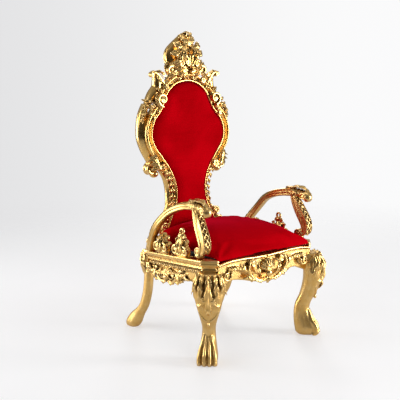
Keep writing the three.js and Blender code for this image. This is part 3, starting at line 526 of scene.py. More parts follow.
def mixed(tree, factor, a, b, x, y, blend="MIX"):
    made = node(tree, "ShaderNodeMix", x, y, data_type="RGBA", blend_type=blend)
    for k, value in ((0, factor), (6, a), (7, b)):
        if isinstance(value, (int, float, tuple)):
            made.inputs[k].default_value = value
        else:
            tree.links.new(value, made.inputs[k])
    return made.outputs[2]


def noise(tree, where, scale, detail, rough, x, y, stretch=None):
    if stretch is not None:
        mapping = node(tree, "ShaderNodeMapping", x - 200, y)
        mapping.inputs["Scale"].default_value = stretch
        tree.links.new(where, mapping.inputs["Vector"])
        where = mapping.outputs["Vector"]
    made = node(tree, "ShaderNodeTexNoise", x, y)
    tree.links.new(where, made.inputs["Vector"])
    made.inputs["Scale"].default_value = scale
    made.inputs["Detail"].default_value = detail
    made.inputs["Roughness"].default_value = rough
    return made.outputs["Fac"]


def gilding_group():
    """Gold leaf over gesso: painted shade in the hollows, edges painted pale as rubbed wear and highlight,
    leaf laps and brush marks.
    """
    if "Gilding" in bpy.data.node_groups:
        return bpy.data.node_groups["Gilding"]
    tree, given, out = group_with(
        "Gilding",
        [("Gold", "NodeSocketColor", (0.9, 0.6, 0.2, 1)), ("Toned", "NodeSocketColor",
                                                           (0.3, 0.15, 0.03, 1)),
         ("Rubbed", "NodeSocketColor", (1, 0.8, 0.45, 1)), ("Hollow depth", "NodeSocketFloat", 0.012),
         ("Hollow tone", "NodeSocketFloat", 0.85), ("Smooth", "NodeSocketFloat", 0.16),
         ("Matte", "NodeSocketFloat", 0.42), ("Patchiness", "NodeSocketFloat", 0.5)],
        [("Color", "NodeSocketColor"), ("Roughness", "NodeSocketFloat"), ("Height", "NodeSocketFloat")])
    where = node(tree, "ShaderNodeTexCoord", -1400, -400).outputs["Object"]
    # Ambient occlusion finds the hollows, which get painted shade below.
    hollow = node(tree, "ShaderNodeAmbientOcclusion", -1100, 300, samples=6, only_local=True)
    tree.links.new(given.outputs["Hollow depth"], hollow.inputs["Distance"])
    open_air = ranged(tree, hollow.outputs["AO"], 0.28, 0.88, -900, 300)
    # Pointiness finds the sharp edges. They are painted pale, partly as rubbed wear and partly as a painted
    # highlight.
    edge = ranged(tree, node(tree, "ShaderNodeNewGeometry", -1100, 100).outputs["Pointiness"], 0.505,
                  0.56, -900, 100)
    patches = noise(tree, where, 26.0, 4.0, 0.6, -900, -150)
    fine = noise(tree, where, 310.0, 3.0, 0.6, -900, -350)
    brushed = noise(tree, where, 120.0, 2.0, 0.5, -900, -550, stretch=(1.0, 1.0, 0.12))
    laps = node(tree, "ShaderNodeTexVoronoi", -900, -750, feature="DISTANCE_TO_EDGE")
    laps.inputs["Scale"].default_value = 13.0
    tree.links.new(where, laps.inputs["Vector"])
    lap_line = ranged(tree, laps.outputs["Distance"], 0.0, 0.02, -700, -750)
    # Colour: painted shade in the hollows, patchy on the flats, and pale on the edges as rubbed wear and a
    # painted highlight.
    painted_shade = maths(tree, "SUBTRACT", 1.0, open_air, -700, 300)
    painted_shade = maths(tree, "MULTIPLY", painted_shade, given.outputs["Hollow tone"], -500, 300, clamp=True)
    patch = ranged(tree, patches, 0.35, 0.75, -700, -150)
    patch = maths(tree, "MULTIPLY", patch, given.outputs["Patchiness"], -500, -150, clamp=True)
    warm = mixed(tree, patch, given.outputs["Gold"], given.outputs["Rubbed"], -300, 0)
    lapped = mixed(tree, maths(tree, "SUBTRACT", 1.0, lap_line, -500, -750), warm,
                   (0.62, 0.33, 0.09, 1), -200, -300)
    lapped = mixed(tree, 0.35, warm, lapped, -100, -100)
    edge_wear_and_highlight = mixed(tree, maths(tree, "MULTIPLY", edge, 0.7, -500, 100), lapped, given.outputs["Rubbed"],
                   0, 50)
    tree.links.new(mixed(tree, painted_shade, edge_wear_and_highlight, given.outputs["Toned"], 200, 100), out.inputs["Color"])
    # Roughness: burnished on the flats, matte where patchy and in the painted shade of the hollows.
    spread = node(tree, "ShaderNodeMix", 0, -300)
    tree.links.new(given.outputs["Smooth"], spread.inputs[2])
    tree.links.new(given.outputs["Matte"], spread.inputs[3])
    dull = maths(tree, "ADD", maths(tree, "MULTIPLY", patches, 0.55, -300, -300),
                 maths(tree, "MULTIPLY", painted_shade, 0.6, -300, -450), -150, -350, clamp=True)
    tree.links.new(dull, spread.inputs[0])
    tree.links.new(spread.outputs[0], out.inputs["Roughness"])
    height = maths(tree, "ADD", maths(tree, "MULTIPLY", fine, 0.5, -300, -600),
                   maths(tree, "MULTIPLY", brushed, 0.35, -300, -750), -100, -650)
    height = maths(tree, "ADD", height, maths(tree, "MULTIPLY", lap_line, 0.12, -300, -900), 100, -650)
    tree.links.new(height, out.inputs["Height"])
    return tree


def pile_group():
    """Cut velvet: a fine pile, nap brushed this way and that, and crushed streaks."""
    if "Velvet pile" in bpy.data.node_groups:
        return bpy.data.node_groups["Velvet pile"]
    tree, given, out = group_with(
        "Velvet pile",
        [("Lit", "NodeSocketColor", (0.4, 0.0, 0.01, 1)), ("Deep", "NodeSocketColor", (0.2, 0.0, 0.0, 1)),
         ("Nap", "NodeSocketFloat", 7.0), ("Crush", "NodeSocketFloat", 0.5)],
        [("Color", "NodeSocketColor"), ("Roughness", "NodeSocketFloat"), ("Height", "NodeSocketFloat")])
    where = node(tree, "ShaderNodeTexCoord", -1400, -400).outputs["Object"]
    pile = node(tree, "ShaderNodeTexVoronoi", -900, 200)
    pile.inputs["Scale"].default_value = 900.0
    tree.links.new(where, pile.inputs["Vector"])
    weave = noise(tree, where, 420.0, 2.0, 0.5, -900, 0)
    nap = node(tree, "ShaderNodeTexNoise", -900, -200)
    tree.links.new(where, nap.inputs["Vector"])
    tree.links.new(given.outputs["Nap"], nap.inputs["Scale"])
    nap.inputs["Detail"].default_value = 3.0
    nap.inputs["Distortion"].default_value = 0.8
    streaks = noise(tree, where, 16.0, 3.0, 0.55, -900, -450, stretch=(0.5, 1.0, 3.4))
    crushed = ranged(tree, nap.outputs["Fac"], 0.36, 0.66, -700, -200)
    crushed = maths(tree, "MULTIPLY", crushed, given.outputs["Crush"], -500, -200)
    crushed = maths(tree, "ADD", crushed,
                    maths(tree, "MULTIPLY", ranged(tree, streaks, 0.42, 0.7, -700, -450), 0.08, -500, -450),
                    -300, -300, clamp=True)
    tone = maths(tree, "SUBTRACT", 1.0, crushed, -150, -250)
    colour = mixed(tree, tone, given.outputs["Deep"], given.outputs["Lit"], 0, 100)
    speckle = ranged(tree, pile.outputs["Distance"], 0.1, 0.8, -700, 200, 1.0, 0.72)
    tree.links.new(mixed(tree, 0.6, colour, mixed(tree, 1.0, colour, speckle, 100, 250, "MULTIPLY"),
                         300, 150),
                   out.inputs["Color"])
    tree.links.new(ranged(tree, nap.outputs["Fac"], 0.3, 0.7, 0, -400, 0.52, 0.66), out.inputs["Roughness"])
    height = maths(tree, "ADD", maths(tree, "MULTIPLY", pile.outputs["Distance"], 0.5, -300, 300),
                   maths(tree, "MULTIPLY", weave, 0.5, -300, 450), -100, 400)
    tree.links.new(height, out.inputs["Height"])
    return tree


def surface(name, group, values, bump, distance, sockets):
    """A material whose colour, roughness and bump come from one node group."""
    made = bpy.data.materials.new(name)
    made.use_nodes = True
    tree = made.node_tree
    shader = tree.nodes["Principled BSDF"]
    source = node(tree, "ShaderNodeGroup", -500, 0)
    source.node_tree = group
    for label, value in values.items():
        source.inputs[label].default_value = value
    tree.links.new(source.outputs["Color"], shader.inputs["Base Color"])
    tree.links.new(source.outputs["Roughness"], shader.inputs["Roughness"])
    relief = node(tree, "ShaderNodeBump", -250, -250)
    relief.inputs["Strength"].default_value = bump
    relief.inputs["Distance"].default_value = distance
    tree.links.new(source.outputs["Height"], relief.inputs["Height"])
    tree.links.new(relief.outputs["Normal"], shader.inputs["Normal"])
    for label, value in sockets.items():
        shader.inputs[label].default_value = value
    return made


GILDINGS = {
    "burnished_gilding": {"smooth": 0.19, "matte": 0.45, "patchiness": 0.4},
    "satin_gilding": {"smooth": 0.29, "matte": 0.5, "patchiness": 0.4, "hollow_depth": 0.016, "bump": 0.25,
                      "tint": 0.96},
    "arm_gilding": {"smooth": 0.27, "matte": 0.46, "patchiness": 0.25, "bump": 0.2, "tint": 0.86},
    "plain_gilding": {"smooth": 0.30, "matte": 0.5, "patchiness": 0.5, "bump": 0.3, "tint": 0.85},
}


def gilding(name, smooth, matte, patchiness, hollow_depth=0.018, bump=0.12, tint=1.0):
    colours = bpy.context.scene.throne_colours
    base = tuple(c * tint for c in colours.gold[:3]) + (1.0,)
    leaf_depth = 0.0006
    return surface(
        name, gilding_group(),
        # The dark gold paints shade into the hollows; the pale gold marks rubbed wear and paints a
        # highlight on the edges.
        {"Gold": base, "Toned": tuple(colours.hollow_shade_gold), "Rubbed": tuple(colours.pale_gold_and_highlight),
         "Hollow depth": hollow_depth, "Hollow tone": 0.9, "Smooth": smooth, "Matte": matte,
         "Patchiness": patchiness},
        bump, leaf_depth, {"Metallic": 1.0})


def cloth(name, lit, deep, nap, crush, bump, depth, sockets):
    values = {"Lit": tuple(lit), "Deep": tuple(deep), "Nap": nap, "Crush": crush}
    return surface(name, pile_group(), values, bump, depth, sockets)


def finish_of(kind):
    """The materials of the throne, each made once."""
    if kind in bpy.data.materials:
        return bpy.data.materials[kind]
    colours = bpy.context.scene.throne_colours
    if kind in GILDINGS:
        return gilding(kind, **GILDINGS[kind])
    if kind == "velvet_pile":
        return cloth(kind, colours.velvet, colours.deep_velvet, 3.0, 0.5, 0.35, 0.0008, {
            "Sheen Weight": 0.4, "Sheen Roughness": 0.24, "Sheen Tint": (1.0, 0.02, 0.09, 1.0),
            "Specular IOR Level": 0.0})
    if kind == "cover_pile":
        return cloth(kind, colours.velvet, colours.deep_velvet, 5.0, 0.3, 0.35, 0.0008, {
            "Sheen Weight": 0.2, "Sheen Roughness": 0.35, "Sheen Tint": (1.0, 0.03, 0.08, 1.0),
            "Specular IOR Level": 0.0})
    if kind == "lining_cloth":
        return cloth(kind, colours.lining, (0.004, 0.004, 0.004, 1.0), 12.0, 0.8, 0.4, 0.001, {
            "Sheen Weight": 0.2, "Sheen Roughness": 0.5, "Specular IOR Level": 0.25})
    raise ValueError("no finish called " + kind)


# ---------------------------------------------------------------- legs

# Height, outward centre, half depth, half width across the diagonal.
LEG_STATIONS = [
    (0, -10, 42, 36), (12, -10, 55, 45), (34, -12, 59, 48), (66, -22, 54, 43), (99, -32, 46, 37),
    (131, -39, 38, 33), (169, -33, 37, 32), (208, -15, 38, 38), (255, 2, 42, 50),
    (300, 12, 45, 61), (345, 14, 47, 69), (385, 8, 46, 70), (418, -6, 42, 60), (442, -12, 38, 48),
]


def leg_sway(z):
    return -8.0 * np.maximum(0, 1 - z / 280)


def handed(hand, points):
    """The points of the right-hand side, or their mirror images for the left."""
    return [(hand * x, y, z) for x, y, z in points]


def knee_leaves(c):
    """The knee's carving: a keel leaf, cheek leaves, curled eyes and a string of beads."""
    c.leaf([(0, -34, 438), (0, -62, 402), (0, -71, 352), (0, -64, 302), (0, -42, 254), (0, -24, 214)],
           OUT_FRONT, 20, 19, 4, side=ACROSS, cut=0.12)
    for hand in (-1, 1):
        lean = unit(vec(1, hand * 0.8, 0))
        away = unit(vec(hand * 0.62, -1, 0))
        c.leaf(handed(hand, [(26, -30, 440), (34, -56, 404), (38, -62, 360), (34, -54, 312),
                             (20, -44, 262)]),
               away, 17, 17, 4, side=lean)
        c.leaf(handed(hand, [(48, -20, 442), (63, -38, 400), (66, -26, 346), (50, -18, 288)]),
               unit(vec(hand, -0.55, 0)), 22, 14, 3, side=unit(vec(0.5, hand, 0)))
        c.leaf(handed(hand, [(52, -14, 436), (70, -12, 404), (76, -10, 366), (84, -12, 340)]),
               vec(hand, 0, 0), 22, 8, 2, side=THROUGH)
        c.volute((hand * 20, -66, 334), ACROSS * hand, UP, math.pi / 2, 1.3, 15, 6, 10)
        c.leaf(handed(hand, [(8, -66, 330), (26, -64, 316), (44, -50, 296), (56, -36, 300)]), OUT_FRONT,
               11, 9, 2)
        c.beads(handed(hand, [(50, -30, 286), (40, -34, 254), (24, -34, 230), (0, -31, 214)]), 6.0, 10,
                0.15)
    c.leaf([(0, -60, 300), (0, -66, 276), (0, -52, 248)], OUT_FRONT, 17, 11, 2, side=ACROSS)
    c.ball((0, -32, 202), (6, 7, 10))


def paw(c):
    """Four toes under a ball of the foot, with the tendons that run up from them."""
    for toe in (-1.5, -0.5, 0.5, 1.5):
        outer = abs(toe) > 1
        front = 10.0 + (0 if outer else 6)
        sway = leg_sway(20.0)
        c.sweep([(sway + 11 * toe, 8, 140), (sway + 15 * toe, -4, 112), (sway + 21 * toe, -front - 3, 78),
                 (sway + 25 * toe, -front - 24, 44), (sway + 25 * toe, -front - 24, 14),
                 (sway + 24 * toe, -front - 10, 3)],
                OUT_FRONT, ROUND, lambda t: (5 + 8.5 * t ** 0.8,
                                             7 + 9 * math.sin(math.pi * min(t, 0.75) / 1.5)),
                count=30, side=ACROSS)
        c.ball((sway + 25.5 * toe, -front - 36, 18), (9, 10, 12))


def front_leg():
    """The left front leg, made along its diagonal and then turned into its corner."""
    c = Carving()
    heights = np.concatenate([[0.5, 2, 5], np.linspace(9, 442, 80)])
    fine = through([(s[0], s[1], s[2]) for s in LEG_STATIONS], 300)
    wide = through([(s[0], s[3], 0) for s in LEG_STATIONS], 300)
    angle = np.arange(48) * TAU / 48
    square = 1 + 0.09 * np.abs(np.sin(2 * angle))
    rings = []
    for z in heights:
        centre = np.interp(z, fine[:, 0], fine[:, 1])
        deep = np.interp(z, fine[:, 0], fine[:, 2])
        half = np.interp(z, wide[:, 0], wide[:, 1])
        # A soft keel runs down the knee and shin.
        keel = 5.0 * smoothstep(z, 90, 150) * np.exp(-(((angle - 1.5 * math.pi) / 0.26) ** 2))
        x = leg_sway(z) + half * np.cos(angle) * square
        y = -centre + (deep * square + keel) * np.sin(angle)
        rings.append(np.column_stack([x, y, np.full(48, z)]))
    c.loft(rings)
    paw(c)
    knee_leaves(c)
    turn, side = math.cos(-math.pi / 4), math.sin(-math.pi / 4)

    def into_corner(p):
        x = turn * p[:, 0] - side * p[:, 1] - CORNER[0]
        y = side * p[:, 0] + turn * p[:, 1] + CORNER[1]
        return np.column_stack([x, y, np.maximum(p[:, 2], LEAST_Z)])

    c.moved(into_corner)
    x, y = SEAT_FRONT_X, SEAT_FRONT_Y
    inner = BLOCK + 2
    plan = [(-x, y + CHAMFER), (-x + CHAMFER, y), (-x + inner, y), (-x + inner, y + inner), (-x, y + inner)]
    c.prism(plan, [(414, -9), (440, -8), (446, -5), (450, 0), (454, 1), (457, -2), (462, -5), (468, -4),
                   (473, 0), (476, 4), (480, 5), (484, 4), (486, 2), (488, 3), (494, 4), (498, 3),
                   (499.6, 1)])
    return c


# Height, centre y, half depth, half width.
REAR_LEG_STATIONS = [
    (0, 394, 34, 26), (12, 390, 43, 32), (30, 380, 48, 34), (55, 364, 47, 31), (82, 342, 42, 27),
    (108, 314, 34, 25), (140, 287, 27, 24), (215, 257, 26, 22), (300, 243, 25, 22), (372, 241, 24, 22),
]


def rear_leg():
    """The left rear leg, with the square block at its top and the leaf on its outer corner."""
    c = Carving()
    fine = through([(s[0], s[1], s[2]) for s in REAR_LEG_STATIONS], 200)
    wide = through([(s[0], s[3], 0) for s in REAR_LEG_STATIONS], 200)
    angle = np.arange(36) * TAU / 36
    square = 1 + 0.1 * np.abs(np.sin(2 * angle))
    rings = []
    for z in np.concatenate([[0.5, 2, 5], np.linspace(9, 372, 60)]):
        half = np.interp(z, wide[:, 0], wide[:, 1]) * square
        deep = np.interp(z, fine[:, 0], fine[:, 2]) * square
        y = np.interp(z, fine[:, 0], fine[:, 1]) + deep * np.sin(angle)
        rings.append(np.column_stack([-288 + half * np.cos(angle), y, np.full(36, max(z, LEAST_Z))]))
    c.loft(rings)
    plan = [(-315, 216), (-266, 216), (-266, 266), (-315, 266)]
    c.prism(plan, [(356, -10), (366, -4), (372, 0), (440, 0), (447, -1), (451, -2)])
    c.leaf([(-304, 250, 448), (-313, 266, 420), (-314, 270, 384), (-308, 266, 344), (-298, 260, 306)],
           unit(vec(-1, 0.9, 0)), 20, 14, 5, side=unit(vec(0.9, 1, 0)))
    c.volute((-317, 240, 414), -THROUGH, UP, 1.0, 1.3, 23, 8, 9)
    c.leaf([(-316, 236, 398), (-322, 244, 372), (-314, 250, 346), (-306, 250, 322)], vec(-1, 0, 0), 18,
           12, 3)
    return c


# ---------------------------------------------------------------- rails


def board(c, edge, top, y0, y1):
    """An upright board between a lower and an upper edge line, given as (x, z)."""
    xs = np.linspace(edge[0][0], edge[-1][0], 90)
    low = through([(x, z, 0) for x, z in edge], 200)
    high = through([(x, z, 0) for x, z in top], 200)
    rings = []
    for x in xs:
        z0, z1 = np.interp(x, low[:, 0], low[:, 1]), np.interp(x, high[:, 0], high[:, 1])
        rings.append([(x, y0 + 2, z0), (x, y0, z0 + 3), (x, y0, z1 - 3), (x, y0 + 3, z1), (x, y1, z1),
                      (x, y1, z0)])
    c.loft(rings)


def flourish(c, points, wide=7.0, high=8.0, thin=0.4):
    """A fluted scroll band on a front face, that thins towards its end."""
    c.sweep(points, OUT_FRONT, FLUTED, lambda t: (wide * (1 - thin * t), high * (1 - thin * t)), count=48)


def front_rail():
    """The front rail: a shaped board behind a layer of scrolls and leaves round a shell."""
    c = Carving()
    face = SEAT_FRONT_Y + 6
    end = SEAT_FRONT_X - BLOCK + 1
    half = [(end, 353), (286, 360), (262, 370), (215, 386), (150, 378), (80, 360)]
    edge = [(-x, z) for x, z in half] + [(0, 350)] + half[::-1]
    top = [(-end, 478), (-240, 488), (-190, 490), (0, 484), (190, 490), (240, 488), (end, 478)]
    board(c, edge, top, face + 4, face + 42)
    # The carved layer stands in front of the board, with combed lower edges.
    half = [(end, 404), (284, 420), (262, 440), (240, 448), (214, 446), (184, 434), (150, 418),
            (112, 402), (70, 400)]
    edge = [(-x, z) for x, z in half] + [(0, 392)] + half[::-1]
    top = [(-end, 478), (-240, 488), (-190, 491), (0, 485), (190, 491), (240, 488), (end, 478)]
    board(c, edge, top, face - 8, face + 10)
    skin = face - 8
    for hand in (-1, 1):
        def laid(points):
            return [(hand * x, skin - out, z) for x, z, out in points]

        # Bead along the top edge and the long smooth hollow below it.
        c.sweep(laid([(end, 474, 0), (244, 484, 0), (180, 486, 0), (90, 482, 0), (6, 479, 0)]),
                OUT_FRONT, REEDED, lambda t: (6, 7), count=50)
        # Comb of leaf tips under the arch.
        for k in range(8):
            x = 250 - 15.5 * k
            z = 447 - 0.42 * max(0, k - 2) ** 2 * 1.4 - 2 * max(0, k - 3)
            c.leaf(laid([(x, z + 14, 2), (x - 4, z + 1, 7), (x - 12, z - 14, 2)]), OUT_FRONT, 8, 10, 1,
                   count=12)
        # Scroll by the leg and the ribbed fan that lies in it.
        c.volute((hand * 262, skin - 4, 420), ACROSS * hand, UP, math.pi * 0.9, 1.4, 27, 8, 12)
        flourish(c, laid([(236, 430, 4), (206, 448, 6), (170, 440, 6), (138, 420, 6), (118, 408, 4)]))
        # The great C-scroll that cradles the shell.
        flourish(c, laid([(92, 470, 6), (116, 462, 10), (128, 438, 12), (118, 408, 12), (88, 380, 12),
                          (46, 364, 12), (4, 360, 10)]), wide=10, high=10, thin=0.2)
        c.volute((hand * 96, skin - 8, 456), ACROSS * hand, UP, math.pi * 0.6, 1.5, 19, 6, 11)
        c.leaf(laid([(126, 420, 8), (146, 430, 12), (160, 452, 12), (152, 470, 8)]), OUT_FRONT, 13, 9, 3)
        c.leaf(laid([(70, 380, 12), (104, 378, 16), (132, 392, 12), (158, 388, 4)]), OUT_FRONT, 15, 10, 4)
        c.leaf(laid([(52, 398, 14), (70, 420, 22), (70, 446, 18), (54, 464, 10)]), OUT_FRONT, 14, 13, 2)
        c.beads(laid([(108, 396, 18), (84, 372, 20), (48, 356, 18)]), 5.0, 7)
    c.scallop((0, skin - 6, 404), ACROSS, UP, 54, 66, 24, 7)
    c.ball((0, skin - 22, 398), (20, 15, 18))
    c.volute((-10, skin - 24, 424), ACROSS, UP, 0.4, 1.3, 15, 6, 10)
    c.leaf([(0, skin - 10, 388), (0, skin - 20, 368), (0, skin - 16, 352), (0, skin - 8, 344)],
           OUT_FRONT, 19, 10, 3)
    c.beads([(-26, skin - 16, 366), (0, skin - 20, 358), (26, skin - 16, 366)], 5, 5)
    return c


SIDE_START_Y = SEAT_FRONT_Y + BLOCK
SIDE_RUN = math.hypot(SEAT_FRONT_X - SEAT_REAR_X, POST_FRONT_Y - SIDE_START_Y)


def onto_side(p):
    """From the side rail's own frame (along, towards the seat, up) to the drawing."""
    dx = (SEAT_FRONT_X - SEAT_REAR_X) / SIDE_RUN
    dy = (POST_FRONT_Y - SIDE_START_Y) / SIDE_RUN
    fall = (RAIL_TOP_REAR - RAIL_TOP_FRONT) / SIDE_RUN
    x = -SEAT_FRONT_X + dx * p[:, 0] + dy * p[:, 1]
    y = SIDE_START_Y + dy * p[:, 0] - dx * p[:, 1]
    return np.column_stack([x, y, RAIL_TOP_FRONT + fall * p[:, 0] + p[:, 2]])


def side_rail():
    """The left side rail, made lying along its own run and then moved into place."""
    c = Carving()
    run = SIDE_RUN
    edge = [(-4, -104), (40, -116), (90, -116), (140, -114), (200, -132), (280, -145), (350, -146),
            (410, -130), (450, -118), (run + 3, -110)]
    board(c, edge, [(-4, -3), (run / 2, -3), (run + 3, -3)], 8, 50)
    # Stepped cornice: cap, fillet, hollow, half-round and lower fillet.
    profile = [(54, 0), (54, -14), (30, -46), (9, -47), (7, -44), (1, -43), (0, -39), (1, -36),
               (4, -34), (3, -30), (0, -26), (-1, -23), (-4, -21), (-5, -18), (-4, -15), (-6, -13),
               (-7, -9), (-7, -4), (-5, -1), (-1, 0)]
    c.loft([[(x, y, z) for y, z in profile] for x in np.linspace(-4, run + 3, 60)])
    # Leaf-and-dart line under the cornice.
    for k in range(30):
        x = 12 + 15.6 * k
        c.leaf([(x - 7, 4, -50), (x, -2, -55), (x + 8, 3, -60)], OUT_FRONT, 5, 6, 1, count=10)
    c.sweep([(-2, 3, -62), (run / 2, 3, -63), (run, 3, -61)], OUT_FRONT, ROUND,
            lambda t: (3.2 + 1.4 * math.cos(TAU * 40 * t), 4 + 1.4 * math.cos(TAU * 40 * t)), count=240)
    middle = 300
    c.scallop((middle, 4, -108), ACROSS, UP, 58, 46, 20, 7)
    for hand in (-1, 1):
        def laid(points):
            return [(middle + hand * x, 8 - out, z) for x, z, out in points]

        flourish(c, laid([(16, -130, 8), (54, -136, 12), (84, -118, 12), (84, -92, 10), (62, -80, 6)]),
                 wide=8)
        c.volute((middle + hand * 62, -2, -94), ACROSS * hand, UP, math.pi * 0.6, 1.4, 17, 6, 10)
        c.leaf(laid([(78, -110, 6), (108, -98, 14), (140, -96, 12), (172, -84, 4)]), OUT_FRONT, 18, 11, 5)
        c.leaf(laid([(70, -128, 6), (100, -134, 12), (128, -124, 10), (148, -126, 4)]), OUT_FRONT, 14, 9, 4)
        c.leaf(laid([(92, -78, 6), (122, -74, 12), (150, -72, 6)]), OUT_FRONT, 10, 8, 3)
        c.flower((middle + hand * 112, -6, -114), ACROSS, UP, 15, 5, 8)
        c.leaf(laid([(8, -134, 8), (34, -146, 12), (66, -144, 6)]), OUT_FRONT, 11, 8, 3)
        c.beads(laid([(20, -118, 14), (46, -122, 16), (70, -108, 14)]), 4.5, 6)
    c.ball((middle, -12, -114), (22, 12, 14))
    for k in range(4):
        c.sweep([(middle - 34 + 20 * k, -2, -128), (middle - 24 + 20 * k, -12, -104),
                 (middle - 30 + 20 * k, -6, -84)],
                OUT_FRONT, ROUND, lambda t: (3.5, 4), count=16)
    # Bracket beside the front leg.
    c.leaf([(0, 2, -66), (26, -4, -78), (54, -2, -96), (84, 4, -112)], OUT_FRONT, 17, 10, 4)
    c.leaf([(160, 4, -100), (128, -2, -106), (96, 2, -112)], OUT_FRONT, 10, 8, 2)
    c.leaf([(run - 2, 0, -60), (run - 26, -10, -76), (run - 46, -8, -98), (run - 60, 0, -116)],
           OUT_FRONT, 19, 13, 3)
    c.volute((run - 16, -4, -100), ACROSS, UP, 0.8, 1.3, 20, 7, 11)
    c.moved(onto_side)
    return c


def rear_rail():
    """The plain rear rail with one reed along it."""
    c = Carving()
    half = [(264.5, 369), (200, 384), (150, 391), (70, 388)]
    edge = [(-x, z) for x, z in half] + [(0, 385)] + half[::-1]
    board(c, edge, [(-264.5, 450), (0, 450.5), (264.5, 450)], POST_FRONT_Y + 5, POST_FRONT_Y + 47)
    c.sweep([(-262, 262, 440), (0, 262, 441), (262, 262, 440)], THROUGH, REEDED, lambda t: (5, 4), count=30)
    return c


# ---------------------------------------------------------------- arms


def seat_half(y):
    """Half the seat's width over the rails, which narrows towards the rear."""
    t = (y - SEAT_FRONT_Y) / (SEAT_REAR_Y - SEAT_FRONT_Y)
    return SEAT_FRONT_X + (SEAT_REAR_X - SEAT_FRONT_X) * t


def arm_point(p):
    """From (along, outwards, up) on the left arm to the drawing."""
    y, out, z = p
    return (-(seat_half(y) - 22) - out, y, z)


ARM_PATH = [(200, 8, 462), (174, 16, 512), (140, 26, 560), (99, 30, 608), (58, 24, 648), (12, 12, 686),
            (-40, 0, 712), (-95, -6, 729), (-150, -5, 739), (-206, -1, 744)]
ARM_SUPPORT = [(-205, -2, 724), (-220, 0, 690), (-240, 3, 652), (-262, 5, 616), (-278, 6, 582),
               (-280, 5, 552), (-262, 3, 528)]
# The arm's section: a rounded top over two reeds on each side.
ARM_SECTION = np.array([
    (-0.72, -0.92), (-0.94, -0.8), (-1.0, -0.6), (-0.95, -0.4), (-0.84, -0.3), (-0.84, -0.22),
    (-0.96, -0.12), (-1.0, 0.1), (-0.95, 0.3), (-0.86, 0.4), (-0.84, 0.55), (-0.66, 0.8), (-0.36, 0.95),
    (0, 1.0), (0.36, 0.95), (0.66, 0.8), (0.84, 0.55), (0.86, 0.4), (0.95, 0.3), (1.0, 0.1),
    (0.96, -0.12), (0.84, -0.22), (0.84, -0.3), (0.95, -0.4), (1.0, -0.6), (0.94, -0.8), (0.72, -0.92),
    (0, -0.96),
])

# The support's section: two reeds that frame a sunk front face, over ribbed sides.
STAY_SECTION = np.array([
    (-0.86, -1), (-1, -0.8), (-1, -0.35), (-0.86, -0.25), (-0.86, 0.2), (-1, 0.3), (-1, 0.85), (-0.84, 1),
    (-0.7, 0.86), (-0.6, 0.6), (0.6, 0.6), (0.7, 0.86), (0.84, 1), (1, 0.85), (1, 0.3), (0.86, 0.2),
    (0.86, -0.25), (1, -0.35), (1, -0.8), (0.86, -1),
])


